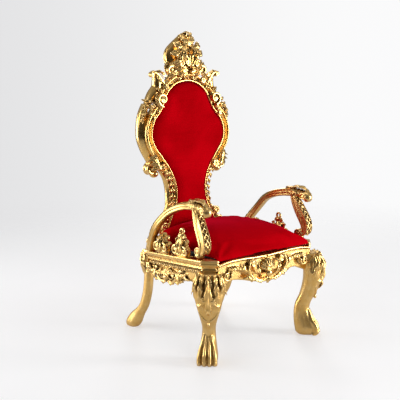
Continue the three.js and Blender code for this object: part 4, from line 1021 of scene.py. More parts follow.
def arm():
    """The left arm with its rear rise, hand-hold and front support."""
    c = Carving()
    path = [arm_point(p) for p in ARM_PATH]

    def size(t):
        grow = 1 + 0.22 * max(0, 1 - 6 * t) + 0.10 * max(0, 5 * t - 4)
        return 20.5 * grow, 20 * grow

    c.sweep(path, vec(0, 1, 0.3), ARM_SECTION, size, count=90, side=ACROSS)
    # Leaf that clasps the rear rise, with its serrated outer edge.
    rise = [arm_point((y + 16, out + 2, z + 8)) for y, out, z in ARM_PATH[1:5]]
    c.leaf(rise, vec(0, 0.8, 0.6), 15, 8, 7, side=ACROSS)
    # Hand-hold: the bar rolls over into a fluted collar and a curled end.
    hx, hy, hz = arm_point((-250, 2, 742))
    for k, (y, r) in enumerate(((-196, 21), (-206, 25), (-216, 22), (-226, 26), (-236, 23), (-246, 26),
                                (-256, 23))):
        x0, y0, z0 = arm_point((y, 1, 744 - 0.9 * k))
        c.ball((x0, y0, z0), (r, 6.5, r * 0.98), n=24, m=10)
    c.ball((hx, hy + 2, hz - 2), (22, 40, 20), n=24)
    c.sweep([(hx, hy + 6, hz), (hx, hy - 26, hz - 2), (hx, hy - 46, hz - 12), (hx, hy - 46, hz - 26),
             (hx, hy - 30, hz - 30)],
            UP, REEDED, lambda t: (23 - 2 * t, 17 - 5 * t), count=40, side=ACROSS)
    for hand in (-1, 1):
        c.volute((hx + hand * 21, hy - 28, hz - 13), THROUGH, UP, 0.3, 1.4, 21, 7, 6)
    top = [arm_point(p) for p in ((-146, 0, 756), (-196, 1, 769), (-240, 2, 774), (-276, 2, 764),
                                  (-297, 2, 742))]
    c.leaf(top, UP, 28, 13, 3, side=ACROSS)
    for hand in (-1, 1):
        x0, y0, z0 = arm_point((-214, 0, 752))
        c.leaf([(x0 + hand * 18, y0 + 44, z0 - 4), (x0 + hand * 24, y0 + 10, z0 - 6),
                (x0 + hand * 26, y0 - 28, z0 - 8)],
               vec(hand, 0, 0.2), 14, 7, 4)
    # Support: ribbed sides, a lattice between two reeds on its front face, and a foot scroll.
    stay = [arm_point(p) for p in ARM_SUPPORT]

    def stay_size(t):
        return 19 + 4 * t, 17 + 11 * math.sin(math.pi * min(t * 1.05, 1))

    c.sweep(stay, OUT_FRONT, STAY_SECTION, stay_size, count=60, side=ACROSS)
    line = through(stay, 80)
    way = tangents(line)
    for k in range(7):
        i, j = 6 + 10 * k, 16 + 10 * k
        for hand in (-1, 1):
            ends = []
            for index, sign in ((i, -hand), (j, hand)):
                t = index / 79
                w, h = stay_size(t)
                lift = unit(np.cross(way[index], ACROSS))
                lift = lift if lift[1] < 0 else -lift
                ends.append(line[index] + lift * h * 0.74 + ACROSS * sign * w * 0.62)
            c.sweep([ends[0], (ends[0] + ends[1]) / 2 + vec(0, -3, 0), ends[1]], OUT_FRONT, ROUND,
                    lambda t: (3.0, 4.2), count=12)
    for k in range(9):
        x0, y0, z0 = arm_point((-214 - 5.2 * k, 1, 716 - 11 * k))
        for hand in (-1, 1):
            c.sweep([(x0 + hand * 17.5, y0 + 15, z0 + 12), (x0 + hand * 19.5, y0 + 3, z0 + 2),
                     (x0 + hand * 18, y0 - 10, z0 - 6)],
                    vec(hand, 0, 0), ROUND, lambda t: (3.2, 3.2), count=10)
    sx, sy, sz = arm_point((-240, 2, 530))
    for hand in (-1, 1):
        c.volute((sx + hand * 16, sy, sz), THROUGH, UP, math.pi, -1.5, 26, 7, 7, count=60)
    c.ball((sx, sy, sz - 2), (20, 22, 22))
    c.ball((sx, sy + 2, sz - 18), (24, 24, 14))
    # Foot of the rear rise.
    fx, fy, fz = arm_point((198, 4, 474))
    c.ball((fx, fy, fz), (25, 28, 24))
    c.leaf([(fx - 14, fy + 6, fz + 6), (fx - 24, fy - 2, fz + 30), (fx - 26, fy - 16, fz + 62)],
           vec(-1, 0, 0), 15, 8, 4)
    return c


def beside(spot, hand, steps):
    """Points near a spot, each a step inwards, along on the hand's side, and up."""
    x, y, z = spot
    return [(x + dx, y + hand * dy, z + dz) for dx, dy, dz in steps]


def arm_shell():
    """A ruffled shell that rests on the rail near the arm's foot."""
    c = Carving()
    spot = arm_point((70, 12, 474))
    x, y, z = spot
    c.ball((x, y, z + 2), (21, 52, 18))
    c.ball((x - 2, y, z + 30), (19, 42, 30))
    c.scallop((x + 8, y, z - 2), -THROUGH, UP, 60, 100, 27, 5, 0.9)
    for hand in (-1, 1):
        c.volute((x - 12, y + hand * 30, z + 24), -THROUGH * hand, UP, math.pi * 0.4, 1.3, 25, 9, 14)
        c.leaf(beside(spot, hand, [(-4, 8, 52), (-14, 22, 68), (-8, 42, 66)]), vec(-1, 0, 0.4), 17, 13, 2)
        c.leaf(beside(spot, hand, [(14, 6, 8), (22, 20, 36), (14, 34, 62)]), vec(1, 0, 0), 20, 12, 2)
    keel = beside(spot, 1, [(-14, 0, 2), (-27, 0, 32), (-20, 0, 70), (-8, 0, 92)])
    c.leaf(keel, vec(-1, 0, 0), 21, 15, 2, side=THROUGH)
    return c


def arm_fleuron():
    """A budding flower with a ring on top, between the shell and the support."""
    c = Carving()
    spot = arm_point((-92, 6, 482))
    x, y, z = spot
    c.ball((x, y, z + 8), (21, 58, 17))
    c.ball((x, y, z + 52), (19, 22, 46))
    for hand in (-1, 1):
        c.volute((x - 8, y + hand * 36, z + 26), -THROUGH * hand, UP, math.pi * 0.4, 1.3, 25, 9, 15)
        c.leaf(beside(spot, hand, [(0, 16, 30), (0, 34, 58), (0, 42, 84), (-2, 54, 78)]), vec(-1, 0, 0),
               20, 16, 2)
        c.leaf(beside(spot, hand, [(-12, 6, 14), (-20, 12, 50), (-10, 12, 92)]), vec(-1, 0, 0), 15, 12, 2)
        c.leaf(beside(spot, hand, [(10, 8, 20), (18, 16, 50), (8, 26, 84)]), vec(1, 0, 0), 16, 10, 2)
        c.leaf(beside(spot, hand, [(0, 8, 82), (0, 22, 98), (0, 22, 112)]), vec(-1, 0, 0), 11, 12, 1)
    c.ball((x, y, z + 104), (14, 17, 13))
    ring = [(x, y + 13 * math.cos(a), z + 122 + 13 * math.sin(a)) for a in np.linspace(0, TAU, 14)[:-1]]
    points = through(ring, 40, closed=True)
    c.sweep(list(points[::4]) + [points[0]], vec(0, 1, 0), ROUND, lambda t: (6, 6), count=44, side=ACROSS)
    return c


# ---------------------------------------------------------------- back


def outline(step=2.5):
    """The velvet panel's whole outline, even steps from the left foot over the arch to the right."""
    left = [(-x, 0, z) for x, z in PANEL]
    right = [(x, 0, z) for x, z in PANEL[:-1]][::-1]
    return evenly(through(left + right, 600), step)


def edge_normals(points):
    way = tangents(points)
    return np.column_stack([-way[:, 2], np.zeros(len(points)), way[:, 0]])


def waist_fall(z):
    """How far the moulding's outer edge falls back, down the waist."""
    return 40 * smoothstep(-z, -500, -330)


def moulding_mesh(material):
    """The running moulding: a bright bead, a hollow with cut hatching and an outer reed."""
    points = outline()
    away = edge_normals(points)
    profile = [(-1, 36), (-1, 6), (-0.6, -1), (0.6, -4.5), (3, -7.5), (6, -8.5), (9, -7.5), (11.5, -4),
               (12.5, 0), (13.5, 3), (16, 5.5), (19, 6.5), (22, 6.5), (25, 5), (27.5, 1.5), (28.5, -3),
               (30, -8), (32.5, -11.5), (35.5, -13), (38.5, -12.5), (41, -10), (42.8, -6), (43.8, 0),
               (44, 36)]
    rings = []
    for p, n, s in zip(points, away, lengths_along(points)):
        ring = []
        for out, y in profile:
            depth = y
            if 12.5 < out < 28:
                hatch = math.sin(TAU * (s / 11.0 + out / 24.0))
                depth += 2.4 * hatch * math.sin(math.pi * (out - 12.5) / 15.5)
            if y < 30:
                depth = min(depth + float(waist_fall(p[2])) * max(out, 0) / MOULD_WIDE, 34)
            ring.append((p[0] + n[0] * out, depth, p[2] + n[2] * out))
        rings.append(ring)
    c = Carving()
    c.loft(rings)
    c.moved(reclined)
    mesh = mesh_from("back_moulding", to_scene(np.vstack(c.points)), c.faces, material)
    mesh.shade_smooth()
    return mesh


def back_side(c, hand):
    """One side of the back's frame. The scrolls' points are (x, z) or (x, z, y)."""
    def run(points):
        return [(hand * p[0], p[2] if len(p) > 2 else BACK_DEEP, p[1]) for p in points]

    def laid(points):
        return handed(hand, points)

    outwards = vec(hand, 0, 0)
    ex = ACROSS * hand
    # The long outer C that swells round the widest part, and the short neck above it.
    c.sweep(run([(248, 700), (269, 650), (279, 590), (278, 530), (260, 470), (236, 420), (222, 376)]),
            outwards, circle(28),
            lambda t: (24 + 10 * (1 - abs(2 * t - 1)), 19 + 11 * math.sin(math.pi * t)), count=70,
            side=THROUGH)
    c.sweep(run([(181, 852, 24), (178, 820, 26), (178, 786, 30), (202, 752, 36), (223, 722, 38),
                 (240, 694, 38)]), outwards,
            circle(28), lambda t: (22 + 9 * math.sin(math.pi * t), 17 + 10 * math.sin(math.pi * t)),
            count=50, side=THROUGH)
    # Its lower end rolls over outwards round a bright eye.
    c.volute((hand * 233, 40, 362), ex, UP, math.pi * 0.62, -1.25, 35, 12, 26, eye=0.4)
    c.ball((hand * 216, 36, 338), (24, 24, 20))
    # Stile from the waist to the rail.
    c.sweep(run([(176, 372, 30), (134, 312, 40), (117, 250, 44), (117, 180, 44), (137, 100, 34),
                 (176, 30, 20), (188, -44, 14)]),
            outwards, circle(24), lambda t: (23, 23), count=60, side=THROUGH)
    # Collar leaves where the neck meets the C, and the leaf that hangs from it.
    c.leaf(laid([(204, -2, 700), (232, -8, 690), (262, 4, 688), (288, 24, 700)]), OUT_FRONT, 15, 12, 5)
    c.leaf(laid([(226, 2, 712), (254, 6, 716), (280, 30, 728)]), OUT_FRONT, 12, 9, 3)
    c.leaf(laid([(258, 8, 698), (278, 6, 660), (288, 12, 622), (290, 22, 588)]), OUT_FRONT, 14, 11, 4)
    c.leaf(laid([(234, -4, 690), (244, -6, 656), (250, -2, 622)]), OUT_FRONT, 10, 9, 3)
    # Shoulder scroll with a drop of buds.
    c.volute((hand * 178, -20, 722), ex, UP, -math.pi / 2, 1.4, 37, 10, 15, eye=0.44)
    c.ball((hand * 184, -2, 722), (28, 16, 32))
    c.leaf(laid([(206, -12, 752), (214, -18, 724), (204, -18, 694), (186, -14, 678)]), OUT_FRONT, 10, 9, 4)
    c.ball((hand * 190, -12, 684), (12, 13, 17))
    c.ball((hand * 203, -12, 664), (11, 12, 14))
    c.flower((hand * 218, -10, 642), ex, UP, 16, 5, 9)
    c.leaf(laid([(218, -8, 648), (232, -10, 622), (240, -6, 596)]), OUT_FRONT, 9, 8, 2)
    c.leaf(laid([(170, -8, 760), (188, -14, 772), (206, -4, 782)]), OUT_FRONT, 13, 10, 3)
    # Ear: a leaf that curls out over the shoulder.
    c.sweep(laid([(142, 16, 800), (162, 14, 832), (184, 12, 855), (208, 10, 864), (224, 10, 856)]),
            vec(-hand, 0, 1.0), REEDED, lambda t: (24 - 10 * t, 13 - 5 * t), count=40, side=THROUGH)
    c.volute((hand * 217, 8, 850), ex, UP, math.pi * 0.4, -1.2, 13, 6, 15)
    c.leaf(laid([(132, 0, 836), (152, -8, 850), (176, -8, 866), (196, -2, 872)]), OUT_FRONT, 13, 10, 2)
    c.leaf(laid([(150, 6, 806), (174, -2, 822), (190, -2, 846)]), OUT_FRONT, 13, 10, 3)
    # Flowers and leaves that run up the arch.
    points = outline(2.0)
    away = edge_normals(points)
    middle = len(points) // 2
    for k, (steps, out, size) in enumerate(((24, 30, 19), (46, 33, 22), (68, 31, 18), (88, 34, 22),
                                            (108, 30, 18))):
        i = middle + hand * steps
        p = points[i] + away[i] * out
        along = tangents(points)[i] * hand
        if k % 2:
            c.flower((p[0], -9, p[2]), ex, UP, size, 5, 10)
        else:
            c.leaf([p - along * 20 + vec(0, -5, 0), p + vec(0, -13, 0), p + along * 20 + vec(0, -5, 0)],
                   OUT_FRONT, size, 11, 3)
        q = points[i] + away[i] * (out + 12)
        c.ball((q[0], 4, q[2]), (9, 12, 9), n=12, m=8)
    # Waist: a flower, the outward plume and the leaf drop on the stile.
    c.flower((hand * 172, -4, 366), ex, UP, 28, 5, 14)
    for bend, (x, z) in enumerate(((262, 424), (280, 408), (276, 386), (252, 364))):
        c.leaf(laid([(184, 2, 352), (214, -10, 380 - 5 * bend), (242, -6, z + 8), (x, 8, z - 4)]),
               OUT_FRONT, 15, 13, 1)
    for k, (x, z, y) in enumerate(((150, 330, 8), (136, 300, 12), (126, 268, 14), (121, 236, 15),
                                   (121, 204, 15), (124, 172, 13))):
        for side in (-1, 1):
            c.leaf(laid([(x + side * 2, y + 1, z + 18), (x + side * 10, y - 8, z + 5),
                         (x + side * 14, y - 1, z - 14)]), OUT_FRONT,
                   11 - 0.6 * k, 11, 1, count=16)
        c.ball((hand * x, y - 3, z + 16), (4.5, 5, 6), n=12, m=8)
    c.leaf(laid([(128, 12, 160), (142, 6, 130), (158, 4, 104)]), OUT_FRONT, 14, 9, 4)
    # Flare scrolls beside the seat.
    c.volute((hand * 168, 4, 112), ex, UP, -math.pi / 2, 1.3, 22, 8, 15)
    c.volute((hand * 186, 2, 62), ex, UP, -math.pi / 2, 1.3, 22, 8, 15)
    c.ball((hand * 160, 20, 98), (26, 24, 34))
    c.ball((hand * 182, 16, 56), (24, 20, 26))


def back_carving():
    """Both sides of the back's frame, their keystone and the foot between the stiles."""
    c = Carving()
    back_side(c, -1)
    back_side(c, 1)
    # Keystone of flowers under the crest and the plain foot between the stiles.
    c.leaf([(-26, -4, 838), (0, -16, 836), (26, -4, 838)], OUT_FRONT, 15, 12, 3)
    plan = [(-194, 0), (194, 0), (194, 36), (-194, 36)]
    c.prism(plan, [(-44, 0), (0, 0)])
    c.moved(reclined)
    return c


# Height, half width, front and rear of the crest's hood.
HOOD = [(836, 80, -6, 40), (850, 84, -10, 50), (868, 88, -10, 62), (892, 97, -8, 76),
        (920, 104, -6, 88), (952, 105, -6, 92), (986, 94, -8, 84), (1014, 72, -12, 66),
        (1040, 46, -16, 46), (1058, 26, -18, 30)]

RIM_MIDDLE = 946   # height that the leaf tips radiate from
TIP_HEIGHT = 1064  # tips that would rise past this are made shorter


def crest():
    """The hooded shell with its leaf tips, lobes, scrolls and overhanging top leaf."""
    c = Carving()
    fine = through([(z, w, f) for z, w, f, r in HOOD], 60)
    rear = through([(z, r, 0) for z, w, f, r in HOOD], 60)
    rings = []
    for k in range(60):
        angle = np.arange(44) * TAU / 44
        z, wide, front = fine[k]
        back = rear[k, 1]
        # Ribs run down the rear of the hood.
        rib = 1 + 0.035 * np.cos(16 * angle + 2.2 * math.sin(z / 24)) * (np.sin(angle) > -0.35)
        y = (front + back) / 2 + (back - front) / 2 * np.sin(angle) * rib
        rings.append(np.column_stack([wide * np.cos(angle) * rib, y, np.full(44, z)]))
    c.loft(rings)
    for hand in (-1, 1):
        def laid(points):
            return handed(hand, points)

        ex = ACROSS * hand
        # Two great lobes, each with a folded leaf inside it.
        c.leaf(laid([(8, -12, 900), (33, -34, 930), (37, -40, 966), (18, -24, 1006)]), OUT_FRONT, 31,
               27, 2, cut=0.12)
        c.leaf(laid([(26, -14, 1004), (56, -26, 986), (70, -28, 950), (60, -18, 914)]), OUT_FRONT, 18,
               16, 2)
        # Leaf tips that radiate round the rim.
        for k in range(7):
            angle = (-0.14 + 0.185 * k) * math.pi
            way = vec(hand * math.cos(angle), 0, 1.02 * math.sin(angle))
            if k == 6:
                way = vec(hand * 0.12, 0, 1.0)
            spots = [vec(0, y, RIM_MIDDLE) + way * r for r, y in ((50, -14), (74, -28), (92, -26),
                                                                  (106, -6))]
            if spots[-1][2] > TIP_HEIGHT:
                spots = [vec(0, y, RIM_MIDDLE) + way * r for r, y in ((48, -18), (70, -28), (86, -26),
                                                                      (98, -12))]
            c.leaf(spots, OUT_FRONT, 20, 15, 1, side=unit(vec(-math.sin(angle) * hand, 0, math.cos(angle))))
        c.leaf(laid([(12, -20, 892), (44, -30, 876), (80, -20, 884), (104, -4, 910)]), OUT_FRONT, 17, 14, 3)
        c.leaf(laid([(8, -18, 866), (40, -28, 854), (74, -18, 858), (92, 0, 878)]), OUT_FRONT, 15, 13, 3)
        c.volute((hand * 86, -6, 900), ex, UP, -1, 1.3, 18, 7, 13)
        c.volute((hand * 54, -30, 902), ex, UP, 0.6, 1.3, 19, 7, 11)
        c.leaf(laid([(14, -18, 1000), (28, -30, 1018), (40, -24, 1036), (50, -8, 1044)]), OUT_FRONT, 12,
               10, 3)
        # Scrolls and buttress leaves that tie the hood to the arch.
        c.volute((hand * 106, -4, 870), ex, UP, math.pi * 0.9, -1.3, 29, 10, 18)
        c.leaf(laid([(60, -14, 876), (92, -20, 852), (124, -10, 838), (146, 2, 816)]), OUT_FRONT, 17, 12, 3)
        c.leaf(laid([(96, -2, 900), (118, 2, 906), (132, 6, 892), (134, 8, 872)]), OUT_FRONT, 14, 11, 2)
        c.leaf(laid([(84, 16, 908), (96, 16, 872), (112, 18, 846)]), vec(hand, -0.4, 0.4), 20, 9, 3)
    c.sweep([(0, -14, 1004), (0, -34, 972), (0, -38, 936), (0, -30, 908)], OUT_FRONT, ROUND,
            lambda t: (5, 6), count=30, side=ACROSS)
    c.volute((-12, -34, 904), -ACROSS, UP, 0, 1.5, 18, 6, 11)
    c.ball((16, -32, 898), (18, 14, 15))
    c.flower((0, -30, 1010), ACROSS, UP, 20, 6, 10)
    c.leaf([(0, 40, 1006), (0, 34, 1042), (0, 12, 1060), (0, -20, 1066), (0, -46, 1058),
            (0, -56, 1042)], vec(0, 0.4, 1), 25, 12, 2,
           side=ACROSS)
    for hand in (-1, 1):
        c.leaf([(hand * 6, 14, 1034), (hand * 24, 4, 1054), (hand * 38, -10, 1050),
                (hand * 46, -20, 1036)], UP, 15, 11, 2)
    c.leaf([(0, -20, 1026), (0, -34, 1044), (0, -44, 1050)], OUT_FRONT, 16, 9, 2, side=ACROSS)
    c.moved(reclined)
    return c


# ---------------------------------------------------------------- upholstery


def cushion_surface(u, v):
    """A point of the velvet seat: u runs across from -1 to 1 and v from front to back."""
    front, rear = SEAT_FRONT_Y - 2, 199.0
    y = front + (rear - front) * v
    half = seat_half(y) - 57
    # The front edge bows down at its corners, and its sides pull in a little between them.
    along = (1 - (1 - min(v / 0.6, 1)) ** 2) * (1 - 0.55 * v ** 14)
    across = (1 - 0.30 * abs(u) ** 4) * (1 - 0.62 * abs(u) ** 24)
    x = u * (half - 3 * math.sin(math.pi * v))
    # A rolled border all round.
    roll = 22.0
    gap = min(half - abs(x), (rear - front) * v, (rear - front) * (1 - v), roll)
    drop = roll - math.sqrt(max(roll ** 2 - (roll - gap) ** 2, 0.0))
    return vec(x, y, 525 + 68 * along * across - drop)


def seat_cushion(material):
    """The sprung seat: a crowned block with a rolled border along its front."""
    cols, rows = 72, 64
    points, faces = [], []
    for j in range(rows + 1):
        v = 0.5 - 0.5 * math.cos(math.pi * j / rows)
        for i in range(cols + 1):
            u = -math.cos(math.pi * i / cols)
            points.append(cushion_surface(u, v))
    base = len(points)
    for j in range(rows + 1):
        for i in range(cols + 1):
            p = points[j * (cols + 1) + i]
            points.append(vec(p[0], p[1], seat_bottom(p[0], p[1])))
    row = cols + 1
    for j in range(rows):
        for i in range(cols):
            a, b, c, d = j * row + i, j * row + i + 1, (j + 1) * row + i + 1, (j + 1) * row + i
            faces += [(a, b, c, d), (base + a, base + d, base + c, base + b)]
    rim = (list(range(cols)) + [j * row + cols for j in range(rows)]
           + [rows * row + i for i in range(cols, 0, -1)] + [j * row for j in range(rows, 0, -1)])
    for k, a in enumerate(rim):
        b = rim[(k + 1) % len(rim)]
        faces.append((a, base + a, base + b, b))
    return new_object("seat_velvet", mesh_from("seat_velvet", to_scene(np.array(points)), faces, material))


def seat_bottom(x, y):
    """The velvet's lower edge: it dips at the front corners and rests on the rails elsewhere."""
    front = max(0.0, 1 - (y - SEAT_FRONT_Y) / 24.0)
    edge = 491 + 5 * math.cos(math.pi * x / 310) if abs(x) < 300 else 486
    return 501 + (edge - 501) * min(front, 1.0)


LAST_FRAME = 20
COVER_CELL = 0.008
PANEL_CUT = 0.006
CUSHION_HELD_BELOW = 0.505  # the seat's velvet is tacked down up to this height
COVER_CLOTH = {
    "quality": 5, "mass": 0.3, "tension_stiffness": 20, "compression_stiffness": 20,
    "shear_stiffness": 8, "bending_stiffness": 4,
}


def puffed(piece, pressure, cap, pin):
    """Lets the stuffing push the cover out by up to cap, except where pin holds it."""
    remesh = piece.modifiers.new("Cover", "REMESH")
    remesh.mode = "VOXEL"
    remesh.voxel_size = COVER_CELL
    applied(piece)
    mesh = piece.data
    before = read_points(mesh)
    held = piece.vertex_groups.new(name="held")
    for i, point in enumerate(before):
        if pin(point):
            held.add([i], 1.0, "REPLACE")
    cloth = piece.modifiers.new("Stuffing", "CLOTH")
    cloth.settings.use_pressure = True
    cloth.settings.uniform_pressure_force = pressure
    cloth.settings.effector_weights.gravity = 0.0
    for key, value in COVER_CLOTH.items():
        setattr(cloth.settings, key, value)
    cloth.settings.vertex_group_mass = "held"
    cloth.collision_settings.use_collision = False
    cloth.point_cache.frame_start, cloth.point_cache.frame_end = 1, LAST_FRAME
    scene = bpy.context.scene
    for number in range(1, LAST_FRAME + 1):
        scene.frame_set(number)
    graph = bpy.context.evaluated_depsgraph_get()
    move = read_points(piece.evaluated_get(graph).to_mesh()) - before
    piece.evaluated_get(graph).to_mesh_clear()
    far = np.linalg.norm(move, axis=1, keepdims=True)
    move *= np.minimum(1.0, cap / np.maximum(far, TINY))
    piece.modifiers.clear()
    scene.frame_set(1)
    mesh.vertices.foreach_set("co", (before + move).ravel())
    mesh.update()
    return piece


def smoothed(piece):
    coats = piece.modifiers.new("Ease", "SMOOTH")
    coats.factor, coats.iterations = 0.5, 3
    piece.modifiers.new("Round", "SUBSURF").levels = 1
    return applied(piece)


def panel_shell(inset, front, rear, crown):
    """The velvet panel as a closed pad: an outline, a domed front and a flat back."""
    points = outline(5.0)
    away = edge_normals(points)
    levels = [(0.0, rear), (0.0, front + 4)]
    for k in range(1, 9):
        a = k / 8
        levels.append((46 * (1 - math.cos(a * math.pi / 2)) * 0.9,
                       front - crown * math.sin(a * math.pi / 2)))
    rings = []
    for more, y in levels:
        ring = points - away * (inset + more)
        ring[:, 2] = np.maximum(ring[:, 2], PANEL[0][1] + inset + more * 0.5)
        ring[:, 1] = y
        rings.append(ring)
    c = Carving()
    c.loft(rings)
    c.moved(reclined)
    return c


# ---------------------------------------------------------------- operators


class ThroneStep:
    """What the throne's operators share."""

    bl_options = {"REGISTER", "UNDO"}


class THRONE_OT_legs(ThroneStep, bpy.types.Operator):
    """Carve the front and rear legs"""

    bl_idname = "throne.legs"
    bl_label = "Legs"

    def execute(self, context):
        carve_pair("front_leg", front_leg(), "satin_gilding")
        carve_pair("rear_leg", rear_leg(), "satin_gilding")
        return {"FINISHED"}


class THRONE_OT_rails(ThroneStep, bpy.types.Operator):
    """Carve the rails of the seat"""

    bl_idname = "throne.rails"
    bl_label = "Seat rails"

    def execute(self, context):
        front = fused("front_rail_carved", front_rail(), finish_of("burnished_gilding"),
                      LIMITS["front_rail"])
        settle(front, "front_rail")
        carve_pair("side_rail", side_rail(), "burnished_gilding")
        rear = fused("rear_rail_shaped", rear_rail(), finish_of("plain_gilding"), LIMITS["rear_rail"])
        settle(rear, "rear_rail")
        return {"FINISHED"}


class THRONE_OT_arms(ThroneStep, bpy.types.Operator):
    """Carve the arms, and the shells and flowers under them"""

    bl_idname = "throne.arms"
    bl_label = "Arms"

    def execute(self, context):
        carve_pair("arm", arm(), "arm_gilding")
        carve_pair("arm_shell", arm_shell(), "burnished_gilding")
        carve_pair("arm_fleuron", arm_fleuron(), "burnished_gilding")
        return {"FINISHED"}


class THRONE_OT_back(ThroneStep, bpy.types.Operator):
    """Carve the frame of the back and its crest"""

    bl_idname = "throne.back"
    bl_label = "Back frame and crest"

    def execute(self, context):
        material = finish_of("burnished_gilding")
        settle(new_object("back_moulding", moulding_mesh(material)), "back_frame")
        carving = fused("back_carving", back_carving(), material, LIMITS["back_carving"])
        settle(carving, "back_frame")
        settle(fused("crest_carved", crest(), material, LIMITS["crest"]), "crest")
        return {"FINISHED"}


class THRONE_OT_upholstery(ThroneStep, bpy.types.Operator):
    """Stuff and cover the seat and the back"""

    bl_idname = "throne.upholstery"
    bl_label = "Velvet seat and back"

    def execute(self, context):
        swell = context.scene.throne_sizes.cushion_swell
        velvet = finish_of("velvet_pile")
        seat = seat_cushion(velvet)
        puffed(seat, 4.0, swell, lambda p: p[2] < CUSHION_HELD_BELOW)
        thinned(smoothed(seat), LIMITS["seat_velvet"])
        settle(seat, "seat_cushion")

        shell = panel_shell(-4.0, 4.0, 28.0, 22.0)
        pad = fused("back_velvet", shell, velvet, LIMITS["back_velvet_blank"], cut=PANEL_CUT)
        puffed(pad, 2.5, 0.006, lambda p: p[1] > 0.245 + (p[2] - 0.5) * 0.066)
        thinned(smoothed(pad), LIMITS["back_velvet"])
        settle(pad, "back_pad")

        shell = panel_shell(-1.0, 30.5, 43.0, 0.0)
        cover = fused("rear_velvet", shell, finish_of("cover_pile"), LIMITS["rear_velvet"], cut=PANEL_CUT)
        settle(cover, "back_cover")

        board_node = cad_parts["seat_board"]
        board_node.data.materials.clear()
        board_node.data.materials.append(finish_of("lining_cloth"))
        return {"FINISHED"}


class THRONE_OT_stage(ThroneStep, bpy.types.Operator):
    """Set the floor, the lights and the camera"""

    bl_idname = "throne.stage"
    bl_label = "Stage"

    def execute(self, context):
        make_floor()
        make_lights()
        make_room()
        make_camera(context.scene.throne_sizes.camera_distance)
        return {"FINISHED"}


# ---------------------------------------------------------------- stage


FLOOR_RADIUS, FLOOR_SIDES = 9.0, 96
FADE_FROM, FADE_TO = 1.1, 4.6
FLOOR_GLOW = 0.45
SEEN_GLOW, BOUNCED_GLOW = (1.0, 1.0, 1.01, 1.0), (0.34, 0.33, 0.31, 1.0)


def make_floor():
    """A pale disc that fades into the background round the throne."""
    colours = bpy.context.scene.throne_colours
    ring = circle(FLOOR_SIDES) * FLOOR_RADIUS
    mesh = bpy.data.meshes.new("studio_floor")
    mesh.from_pydata([(x, y, 0.0) for x, y in ring], [], [tuple(range(FLOOR_SIDES))])
    floor = new_object("studio_floor", mesh)
    made = bpy.data.materials.new("studio_floor")
    made.use_nodes = True
    tree = made.node_tree
    shader = tree.nodes["Principled BSDF"]
    where = node(tree, "ShaderNodeTexCoord", -900, 0).outputs["Object"]
    mottle = noise(tree, where, 2.2, 3.0, 0.5, -700, 0)
    base = tuple(colours.floor)
    dimmed = tuple(c * 0.98 for c in base[:3]) + (1.0,)
    tree.links.new(mixed(tree, mottle, dimmed, base, -400, 0), shader.inputs["Base Color"])
    shader.inputs["Roughness"].default_value = 0.55
    shader.inputs["Specular IOR Level"].default_value = 0.2
    seen = node(tree, "ShaderNodeLightPath", -700, 300).outputs["Is Camera Ray"]
    tree.links.new(mixed(tree, seen, BOUNCED_GLOW, SEEN_GLOW, -400, 300), shader.inputs["Emission Color"])
    shader.inputs["Emission Strength"].default_value = FLOOR_GLOW
    length = node(tree, "ShaderNodeVectorMath", -700, -300, operation="LENGTH")
    tree.links.new(where, length.inputs[0])
    fade = ranged(tree, length.outputs["Value"], FADE_FROM, FADE_TO, -400, -300, 1.0, 0.0)
    tree.links.new(fade, shader.inputs["Alpha"])
    mesh.materials.append(made)


# Name, place, what it points at, width, height and power.
SOFT_BOXES = (
    ("key_left", (-3.6, 0.9, 2.6), (0, 0, 0.7), 1.2, 1.8, 26),
    ("key_front_right", (2.9, -3.4, 1.1), (0, -0.1, 0.5), 1.3, 2.3, 160),
    ("rim_left", (-2.7, 2.9, 0.95), (0, 0, 0.6), 1.5, 2.1, 82),
    ("overhead", (0.4, -0.2, 4.2), (0, 0, 0.5), 1.8, 1.8, 17),
    ("rear_right", (2.6, 2.8, 2.2), (0, 0, 0.9), 1.0, 2.2, 34),
)


def soft_box(name, place, aim, wide, high, power):
    light = bpy.data.lights.new(name, "AREA")
    light.shape = "RECTANGLE"
    light.size, light.size_y = wide, high
    light.energy = power
    lamp = new_object(name, light)
    lamp.location = place
    lamp.rotation_euler = (Vector(aim) - Vector(place)).to_track_quat("-Z", "Y").to_euler()
    return lamp


def make_lights():
    for row in SOFT_BOXES:
        soft_box(*row)
    # Lights the cloth alone, so that the gilding keeps its dark side.
    fill = soft_box("fill_front", (-1.6, -4.0, 0.9), (0, 0, 0.8), 1.6, 1.4, 88)
    fill.visible_glossy = False


